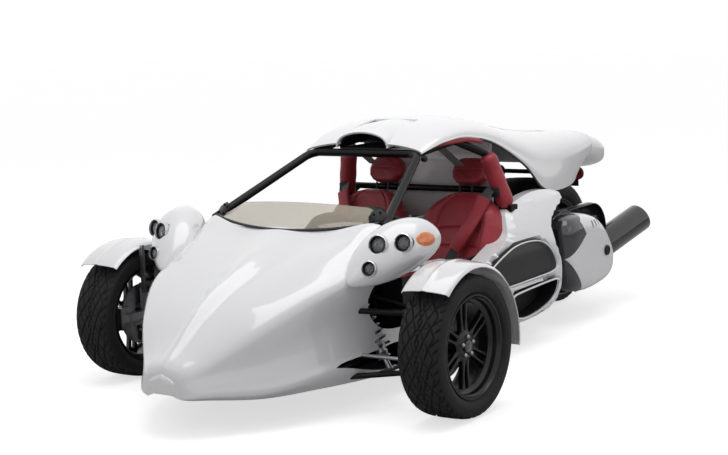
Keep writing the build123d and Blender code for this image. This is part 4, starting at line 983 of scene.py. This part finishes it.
# a padded block from start to end, both (y, z): front and rear are its thickness to each side of the line,
# seamsU run along it and seamsV across it, as (place, bow, reach)
def cushion(name, x0, start, end, halves, front, rear, bolster, seamsU, seamsV, rows=110, cols=96):
    start, end = Vector((0, *start)), Vector((0, *end))
    along = end - start
    length = along.length
    along.normalize()
    out = Vector((1, 0, 0)).cross(along).normalized()
    flat = abs(out.z) >= 0.9
    if (flat and out.z < 0) or (not flat and out.y > 0):
        out = -out
    grid = []
    vs, us = np.linspace(0, 1, rows), np.linspace(-1, 1, cols)
    halfLine = np.interp(vs, [p[0] for p in halves], [p[1] for p in halves])
    side = (1 - np.abs(us) ** 9) ** 0.5
    for v, half in zip(vs, halfLine):
        endRound = (1 - abs(2 * v - 1) ** 9) ** 0.5
        lift = front + bolster * stepUp(0.50, 0.74, np.abs(us)) * (1 - stepUp(0.72, 0.98, v))
        seam = np.zeros_like(us)
        for s in seamsU:
            seam = np.maximum(seam, np.exp(-(((np.abs(us) - s) * half) / seatSizes["seamWidth"]) ** 2))
        for center, bow, reach in seamsV:
            d = (v - (center - bow * us * us)) * length
            seam = np.maximum(seam, np.exp(-(d / seatSizes["seamWidth"]) ** 2) * (np.abs(us) < reach))
        ripple = seatSizes["ripple"] * np.sin(us * 7 + v * 5) * np.sin(v * 13 + us * 3)
        heights = (lift - seatSizes["seam"] * seam + ripple) * side * endRound
        middle = start + along * (length * v)
        ring = [middle + out * h + Vector((x0 + half * u, 0, 0)) for u, h in zip(us, heights)]
        ring += [middle - out * (rear * k * endRound) + Vector((x0 + half * u, 0, 0))
                 for u, k in zip(us[::-1][1:-1:4], side[::-1][1:-1:4])]
        grid.append(ring)
    return outward(gridPiece(name, grid, closedAcross=True, capped=True))


backShape = [(0, 0.184), (0.2, 0.204), (0.45, 0.224), (0.62, 0.223), (0.76, 0.203), (0.87, 0.164), (0.95, 0.112),
             (1.0, 0.045)]
cushionShape = [(0, 0.178), (0.1, 0.205), (0.9, 0.212), (1, 0.190)]
seatPieces = []
for x0 in (-seatSizes["apart"], seatSizes["apart"]):
    seatPieces.append(cushion("back", x0, (0.962, 0.330), (1.148, 0.752), backShape, 0.046, 0.030, 0.036, (0.56,),
                              ((0.60, 0.09, 0.56), (0.40, 0.02, 0.56))))
    seatPieces.append(cushion("seat", x0, (0.500, 0.372), (0.955, 0.338), cushionShape, 0.052, 0.070, 0.030, (0.58,),
                              ((0.35, 0, 0.58), (0.68, 0, 0.58))))
seatPad = fit(joinPieces("seatCushions", seatPieces), mats["leather"], "chassis", ["seats"], sharp=60)
headShape = [(0, 0.036), (0.08, 0.068), (0.25, 0.092), (0.5, 0.100), (0.75, 0.092), (0.92, 0.068), (1, 0.036)]
heads = [cushion("head", x0, (1.182, 0.782), (1.234, 0.908), headShape, 0.030, 0.030, 0.0, (), ((0.5, 0.0, 0.7),),
                 70, 64) for x0 in (-seatSizes["headApart"], seatSizes["headApart"])]
headPad = fit(joinPieces("headCushions", heads), mats["leather"], "chassis", ["headrests"], sharp=60)


# a round pad on a tube, with one seam along its back
def sleeve(name, a, b, radius, rows=60, sides=48):
    a, b = Vector(a), Vector(b)
    u, v = sidesOf((b - a).normalized())
    grid = []
    for i in range(rows + 1):
        t = i / rows
        r = radius * (1 - abs(2 * t - 1) ** 14) ** 0.5
        r = max(r, radius * 0.70) + 0.0009 * math.sin(t * 17)
        ring = []
        for k in range(sides):
            ang = 2 * math.pi * k / sides
            seam = 0.003 * math.exp(-((ang - math.pi) / 0.07) ** 2)
            ring.append(a + (b - a) * t + (u * math.cos(ang) + v * math.sin(ang)) * (r - seam))
        grid.append(ring)
    return outward(gridPiece(name, grid, closedAcross=True, capped=True))


padSizes = {"radius": 0.0415, "liningRadius": 0.011}
padPieces = [sleeve("pad", (s * 0.402, 1.102, 0.945), (s * 0.468, 1.158, 0.692), padSizes["radius"])
             for s in (-1, 1)]
cagePad = fit(joinPieces("cagePads", padPieces), mats["leather"], "chassis", ["cage_pads"], sharp=60)
lining = tube("roofLining", [(0.318, 0.720, 1.020), (0.345, 0.84, 1.026), (0.362, 0.99, 1.026), (0.372, 1.10, 1.006)],
              padSizes["liningRadius"], 12)
fitBoth("roofLinings", outward(lining), mats["leather"])


# a flat band along a line, its width turned towards the across direction
def strap(name, points, width, thick, across=(1, 0, 0), crown=0.0):
    line = smoothLine(points, 10)
    rows = []
    for i, p in enumerate(line):
        direction = Vector(line[min(i + 1, len(line) - 1)]) - Vector(line[max(i - 1, 0)])
        side = Vector(across)
        side = (side - direction.normalized() * side.dot(direction.normalized())).normalized()
        out = direction.cross(side).normalized()
        if out.y > 0:
            out = -out
        ring = []
        for c, s in around(28):
            w = width / 2 * math.copysign(abs(c) ** 0.35, c)
            t = (thick / 2 + crown * (1 - c * c)) * math.copysign(abs(s) ** 0.6, s)
            ring.append(Vector(p) + side * w + out * t)
        rows.append(ring)
    return outward(gridPiece(name, rows, closedAcross=True, capped=True))


beltSizes = {"padWidth": 0.066, "padThick": 0.018, "width": 0.046, "roofWidth": 0.056, "thick": 0.003}
beltLine = [(0.412, 1.050, 0.748), (0.385, 1.022, 0.676), (0.345, 0.974, 0.590), (0.300, 0.944, 0.506)]
beltPad = strap("beltPad", beltLine, beltSizes["padWidth"], beltSizes["padThick"], (0.9, 0.0, -0.35), 0.004)
beltPads = fit(joinPieces("beltPads", [beltPad, mirrored(beltPad, "beltPadRight")]), mats["leather"], "chassis")
lower = strap("lapStrap", [(0.312, 0.950, 0.530), (0.285, 0.924, 0.470), (0.262, 0.900, 0.420)],
              beltSizes["width"], beltSizes["thick"], (0.9, 0.0, -0.35))
upper = strap("shoulderStrap", [(0.408, 1.052, 0.742), (0.424, 1.100, 0.785), (0.432, 1.160, 0.775)],
              beltSizes["width"], beltSizes["thick"], (0.95, 0.1, -0.2))
fitBoth("beltStraps", joinPieces("strap", [lower, upper]), mats["belt"])
web = strap("roofStrap", [(0.250, 0.890, 1.014), (0.250, 0.985, 0.960), (0.250, 1.100, 0.888)],
            beltSizes["roofWidth"], beltSizes["thick"])
fitBoth("roofStraps", web, mats["webbing"])
guide = block("guide", (0.425, 0.463), (1.085, 1.135), (0.742, 0.790), 0.008)
fitBoth("beltGuides", guide, mats["plastic"])
print("seats ready")

# dash
dashSizes = {"low": 0.600, "high": 0.672, "foot": 0.566, "wall": 0.005, "halfWidth": 0.355, "gauges": 3,
             "gaugeStep": 0.080}
cowls = [(0.050, 0.088, 0.092), (0.275, 0.100, 0.128)]  # middle, half-width and rise of each


# low on the passenger's side, with a cowl in the middle and one before the driver
def dashTop(x):
    t = min(max((x + 0.11) / 0.11, 0.0), 1.0)
    z = dashSizes["low"] + (dashSizes["high"] - dashSizes["low"]) * t * t * (3 - 2 * t)
    return z + sum(rise * max(0.0, 1 - ((x - mid) / half) ** 2) ** 0.7 for mid, half, rise in cowls)


dashRows = []
dashLine = [dashSizes["halfWidth"] * (1 - 2 * i / 72) for i in range(73)]
for y, k in ((0.127, 0.0), (0.129, 0.30), (0.150, 0.52), (0.190, 0.80), (0.240, 0.98), (0.300, 1.0), (0.365, 0.96),
             (0.367, 0.93), (0.352, 0.88), (0.349, 0.0)):
    dashRows.append([(x, y, dashSizes["foot"] + k * (dashTop(x) - dashSizes["foot"])) for x in dashLine])
dashSkin = thicken(outward(gridPiece("dashSkin", dashRows)), dashSizes["wall"])
fit(rounded(dashSkin, 0.0015, 1, 50), mats["plastic"], "chassis", ["dashboard"], sharp=35)
gauge = lathe("gauge", [(0.0, nearAxis), (0.0, 0.036), (0.010, 0.040), (0.012, 0.036), (0.004, 0.034),
                        (0.002, nearAxis)], (0.150, 0.347, 0.645), (0, 1, 0.25), 40)
gauges = repeated("gauges", outward(gauge), dashSizes["gauges"], mats["gloss"], step=(dashSizes["gaugeStep"], 0, 0))
fit(gauges, mats["gloss"], "chassis")
print("dash ready")

# side case lids
caseSizes = {"inX": 0.4415, "outX": 0.5595, "vents": 4, "ventStep": 0.036, "frontInset": 0.0015, "frontShrink": 0.008}
caseLoop = softLoop([(2.158, 0.300), (2.118, 0.392), (2.040, 0.488), (1.930, 0.556), (1.750, 0.580), (1.610, 0.556),
                     (1.615, 0.400), (1.640, 0.240), (1.720, 0.172), (1.900, 0.166), (2.120, 0.200)])
centerY = sum(p[0] for p in caseLoop) / len(caseLoop)
centerZ = sum(p[1] for p in caseLoop) / len(caseLoop)
dome = []
for scale, t in ((0.985, 0.0), (1.0, 0.05), (1.0, 0.22), (0.990, 0.42), (0.965, 0.60), (0.915, 0.76), (0.83, 0.88),
                 (0.70, 0.955), (0.50, 0.99), (0.25, 1.0), (0.05, 1.0)):
    x = caseSizes["inX"] + (caseSizes["outX"] - caseSizes["inX"]) * t
    dome.append([(x, centerY + (y - centerY) * scale, centerZ + (z - centerZ) * scale) for y, z in caseLoop])
lid = outward(gridPiece("caseLid", smoothLine(dome, 4), closedAcross=True, capped=True))
# the white lid ends forward in a zigzag, and a dark front piece fills the rest
zigzag = [(1.300, 0.700), (1.790, 0.700), (1.775, 0.560), (1.746, 0.537), (1.790, 0.470), (1.632, 0.362),
          (1.770, 0.180), (1.780, 0.100), (1.300, 0.100)]
dark = newObject("caseFront", lid.data.copy())
cutWith(lid, [prism("lidCut", zigzag, 0.3, 0.7)])
cutWith(dark, [prism("keepCut", zigzag, 0.3, 0.7)], "INTERSECT")
for vert in dark.data.vertices:
    vert.co.y += (centerY - vert.co.y) * caseSizes["frontShrink"]
    vert.co.x -= caseSizes["frontInset"]
slit = prism("vent", [(1.862, 0.490), (1.879, 0.490), (1.869, 0.528), (1.852, 0.528)], 0.480, 0.575)
cutWith(lid, [repeated("vents", slit, caseSizes["vents"], mats["plastic"], step=(0, caseSizes["ventStep"], 0))])
ventFill = block("ventFill", (0.470, 0.510), (1.842, 2.002), (0.482, 0.534), 0.004)
knob = lathe("knob", [(0.0, nearAxis), (0.0, 0.024), (0.006, 0.027), (0.012, 0.025), (0.014, 0.018), (0.010, 0.014),
                      (0.010, nearAxis)], (0.5560, 2.000, 0.355), (1, 0, 0), 40)
detail = joinPieces("caseDetail", [ventFill, outward(knob)])
for one, label, key, replaced in ((lid, "caseLid", "white", "case_lid"), (dark, "caseFront", "gloss", None),
                                  (detail, "caseDetail", "plastic", None)):
    fitPair(one, label, mats[key], "case_lid", replaced, sharp=40)
print("side cases ready")

# mufflers
mufflerSizes = {"radius": 0.078, "slant": 0.12, "flatten": 0.94, "pipeRadius": 0.020,
                "front": (0.405, 2.190, 0.330), "end": (0.487, 2.540, 0.449)}
# (share of the length, share of the radius): the outside, the lip, then the inside down to the core
mufflerSteps = [(0.0, 0.30), (0.004, 0.60), (0.016, 0.82), (0.05, 0.95), (0.10, 1.0), (0.30, 1.0), (0.50, 1.0),
                (0.70, 1.0), (0.86, 1.0), (0.97, 1.0), (0.995, 0.99), (1.0, 0.965), (0.99, 0.945), (0.80, 0.940),
                (0.55, 0.935), (0.548, 0.45), (0.548, 0.30), (0.60, 0.29), (0.60, 0.25), (0.50, 0.25), (0.50, 0.01)]


def mufflerPiece():
    a, b = Vector(mufflerSizes["front"]), Vector(mufflerSizes["end"])
    direction = (b - a).normalized()
    side = direction.cross(Vector((0, 0, 1))).normalized()
    up = side.cross(direction)
    length = (b - a).length
    rows = []
    for t, k in mufflerSteps:
        lean = max(0.0, (t - 0.30) / 0.70)
        ring = []
        r = mufflerSizes["radius"] * k
        for c, s in around(72):
            ring.append(a + direction * (length * t - lean * s * r * mufflerSizes["slant"])
                        + side * (c * mufflerSizes["flatten"] * r) + up * (s * r))
        rows.append(ring)
    return outward(gridPiece("muffler", rows, closedAcross=True, capped=True))


pipeLine = smoothLine([(0.412, 2.215, 0.338), (0.350, 2.150, 0.318), (0.298, 2.080, 0.304), (0.296, 1.980, 0.285),
                       (0.296, 1.800, 0.263), (0.296, 1.600, 0.262), (0.290, 1.500, 0.262), (0.240, 1.480, 0.262)], 8)
pipe = outward(tube("pipe", pipeLine, mufflerSizes["pipeRadius"], 20))
whole = joinPieces("muffler", [mufflerPiece(), pipe])
fitBoth("mufflers", whole, mats["canister"], ["mufflers"], sharp=40)
print("mufflers ready")

# springs
springSizes = {"wire": 0.0055, "perTurn": 24, "frontTurns": 8, "frontRadius": 0.034, "rearTurns": 7,
               "rearRadius": 0.040}


def coil(name, a, b, radius, turns):
    a, b = Vector(a), Vector(b)
    u, v = sidesOf((b - a).normalized())
    count = turns * springSizes["perTurn"]
    line = []
    for i in range(count + 1):
        t = i / count
        ang = 2 * math.pi * turns * t
        line.append(a + (b - a) * t + (u * math.cos(ang) + v * math.sin(ang)) * radius)
    return outward(tube(name, line, springSizes["wire"], 10))


frontCoil = coil("frontCoil", (0.520, 0.0, 0.262), (0.395, 0.0, 0.465), springSizes["frontRadius"],
                 springSizes["frontTurns"])
fitBoth("frontCoils", frontCoil, mats["chrome"])
rearCoil = coil("rearCoil", (0.0, 1.905, 0.420), (0.0, 1.700, 0.540), springSizes["rearRadius"],
                springSizes["rearTurns"])
fit(rearCoil, mats["chrome"], "chassis")
print("springs ready")

# tail lamps and the small fittings
tailLamp = (0.244, 2.285, 0.712)
lens = lathe("lamp", [(0.0, nearAxis), (0.0, 0.030), (0.020, 0.031), (0.024, 0.030), (0.030, 0.026), (0.034, 0.018),
                      (0.0355, nearAxis)], tailLamp, (0, 1, 0), 48)
fitBoth("tailLamps", outward(lens), mats["redLens"], ["tail_lamps"])
ring = lathe("ring", [(0.004, 0.031), (0.022, 0.0315), (0.022, 0.035), (0.004, 0.036)], tailLamp, (0, 1, 0), 48)
fitBoth("tailRings", outward(ring), mats["plastic"])
knobBase = lathe("mirrorKnob", [(0.0, nearAxis), (0.0, 0.013), (0.010, 0.016), (0.020, 0.014), (0.024, nearAxis)],
                 (0.322, 0.668, 0.970), (1, 0, 0), 24)
fitBoth("hoopKnobs", outward(knobBase), mats["plastic"])
print("small fittings ready")

# engine
engineSizes = {"edge": 0.016, "fins": 9, "bolts": 8, "cover": 0.105}
low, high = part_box("engine")
x0, x1, y0, y1, z0, z1 = low.x, high.x, low.y - axleY, high.y - axleY, low.z, high.z
tall = z1 - z0
crank = block("crank", (x0 + 0.012, x1 - 0.012), (y0, y1), (z0, z0 + tall * 0.55), engineSizes["edge"])
top = block("barrels", (x0 + 0.030, x1 - 0.030), (y0 + 0.030, y1 - 0.050), (z0 + tall * 0.5, z1 - 0.012),
            engineSizes["edge"])
finFoot = z0 + tall * 0.60
fin = block("fin", (x0 + 0.014, x1 - 0.014), (y0 + 0.016, y1 - 0.036), (finFoot, finFoot + 0.004), 0.001)
fins = repeated("fins", fin, engineSizes["fins"], mats["alloy"], step=(0, 0, tall * 0.32 / engineSizes["fins"]))
parts = [crank, top, fins]
r = min(engineSizes["cover"], tall * 0.26)
boltTurn = (2 * math.pi / engineSizes["bolts"], 0, 0)
for side, x in ((1, x1 - 0.014), (-1, x0 + 0.014)):
    cover = lathe("cover", [(0.0, nearAxis), (0.0, r), (0.006, r), (0.008, r * 0.86), (0.012, r * 0.82),
                            (0.0135, r * 0.3), (0.0135, nearAxis)], (0, 0, 0), (side, 0, 0), 56)
    bolt = lathe("bolt", [(0.004, nearAxis), (0.004, 0.007), (0.012, 0.007), (0.0125, nearAxis)], (0, 0, r * 0.92),
                 (side, 0, 0), 12)
    bolts = repeated("bolts", outward(bolt), engineSizes["bolts"], mats["alloy"], spin=boltTurn)
    parts.append(moved(joinPieces("cover", [outward(cover), bolts]), (x, (y0 + y1) / 2, z0 + tall * 0.28)))
fit(joinPieces("engineBlock", parts), mats["alloy"], "chassis", ["engine"], sharp=35)
print("engine ready")

# floor, light and camera
studio = {"floorSize": 60.0, "floorColor": (0.66, 0.66, 0.66), "floorLift": 0.66, "worldLight": 0.44,
          "topPower": 94.0, "sidePower": 6.0, "frontPower": 7.0, "lens": 79.12,
          "cameraPlace": (4.295754, -6.305722, 1.708383), "yaw": 0.621399, "pitch": -0.143226, "roll": -0.046833}
half = studio["floorSize"] / 2
floor = newPiece("floor", [(-half, -half, 0), (half, -half, 0), (half, half, 0), (-half, half, 0)], [(0, 1, 2, 3)])
floorMat = bpy.data.materials.new("floorPaper")
floorMat.use_nodes = True
tree = floorMat.node_tree
shader = tree.nodes["Principled BSDF"]
# the floor looks white to the camera only, so it throws no more light on the car
path = tree.nodes.new("ShaderNodeLightPath").outputs
seen = mathOf(tree, "MAXIMUM", path["Is Camera Ray"], path["Is Transmission Ray"])
fill(tree, shader, {"Base Color": (*studio["floorColor"], 1), "Roughness": 0.85, "Specular IOR Level": 0.2,
                    "Emission Color": (1, 1, 1, 1),
                    "Emission Strength": mathOf(tree, "MULTIPLY", seen, studio["floorLift"])})
floor.data.materials.append(floorMat)

# the world is white where it is seen, and dimmer where it lights
world = bpy.data.worlds.new("studio")
scene.world = world
world.use_nodes = True
tree = world.node_tree
path = tree.nodes.new("ShaderNodeLightPath").outputs
seen = path["Is Camera Ray"]
for extra in ("Is Glossy Ray", "Is Transmission Ray"):
    seen = mathOf(tree, "MAXIMUM", seen, path[extra])
fill(tree, tree.nodes["Background"], {"Color": (1, 1, 1, 1),
                                      "Strength": rangeOf(tree, seen, studio["worldLight"], 1.0, 0.0, 1.0)})


def softLight(name, place, target, size, power):
    data = bpy.data.lights.new(name, "AREA")
    data.shape = "RECTANGLE"
    data.size, data.size_y = size
    data.energy = power
    light = newObject(name, data)
    light.location = place
    light.rotation_euler = (Vector(target) - Vector(place)).to_track_quat("-Z", "Y").to_euler()


softLight("topLight", (0.6, -0.6, 4.2), (0, 0, 0.4), (4.5, 3.2), studio["topPower"])
softLight("sideLight", (4.6, 0.8, 2.0), (0, 0.2, 0.5), (2.4, 1.8), studio["sidePower"])
softLight("frontLight", (-1.2, -5.0, 3.6), (0, -0.6, 0.4), (2.0, 1.6), studio["frontPower"])

camera = newObject("camera", bpy.data.cameras.new("camera"))
scene.camera = camera
camera.data.sensor_width = 36.0
camera.data.lens = studio["lens"]
camera.data.clip_end = 200.0
yaw, pitch, roll = studio["yaw"], studio["pitch"], studio["roll"]
forward = Vector((-math.sin(yaw) * math.cos(pitch), math.cos(yaw) * math.cos(pitch), math.sin(pitch)))
right = Vector((math.cos(yaw), math.sin(yaw), 0))
upward = right.cross(forward)
right, upward = (right * math.cos(roll) + upward * math.sin(roll),
                 upward * math.cos(roll) - right * math.sin(roll))
turned = Matrix((right, upward, -forward)).transposed().to_4x4()
camera.matrix_world = Matrix.Translation(studio["cameraPlace"]) @ turned
scene.view_settings.view_transform = "Standard"
print("studio ready")
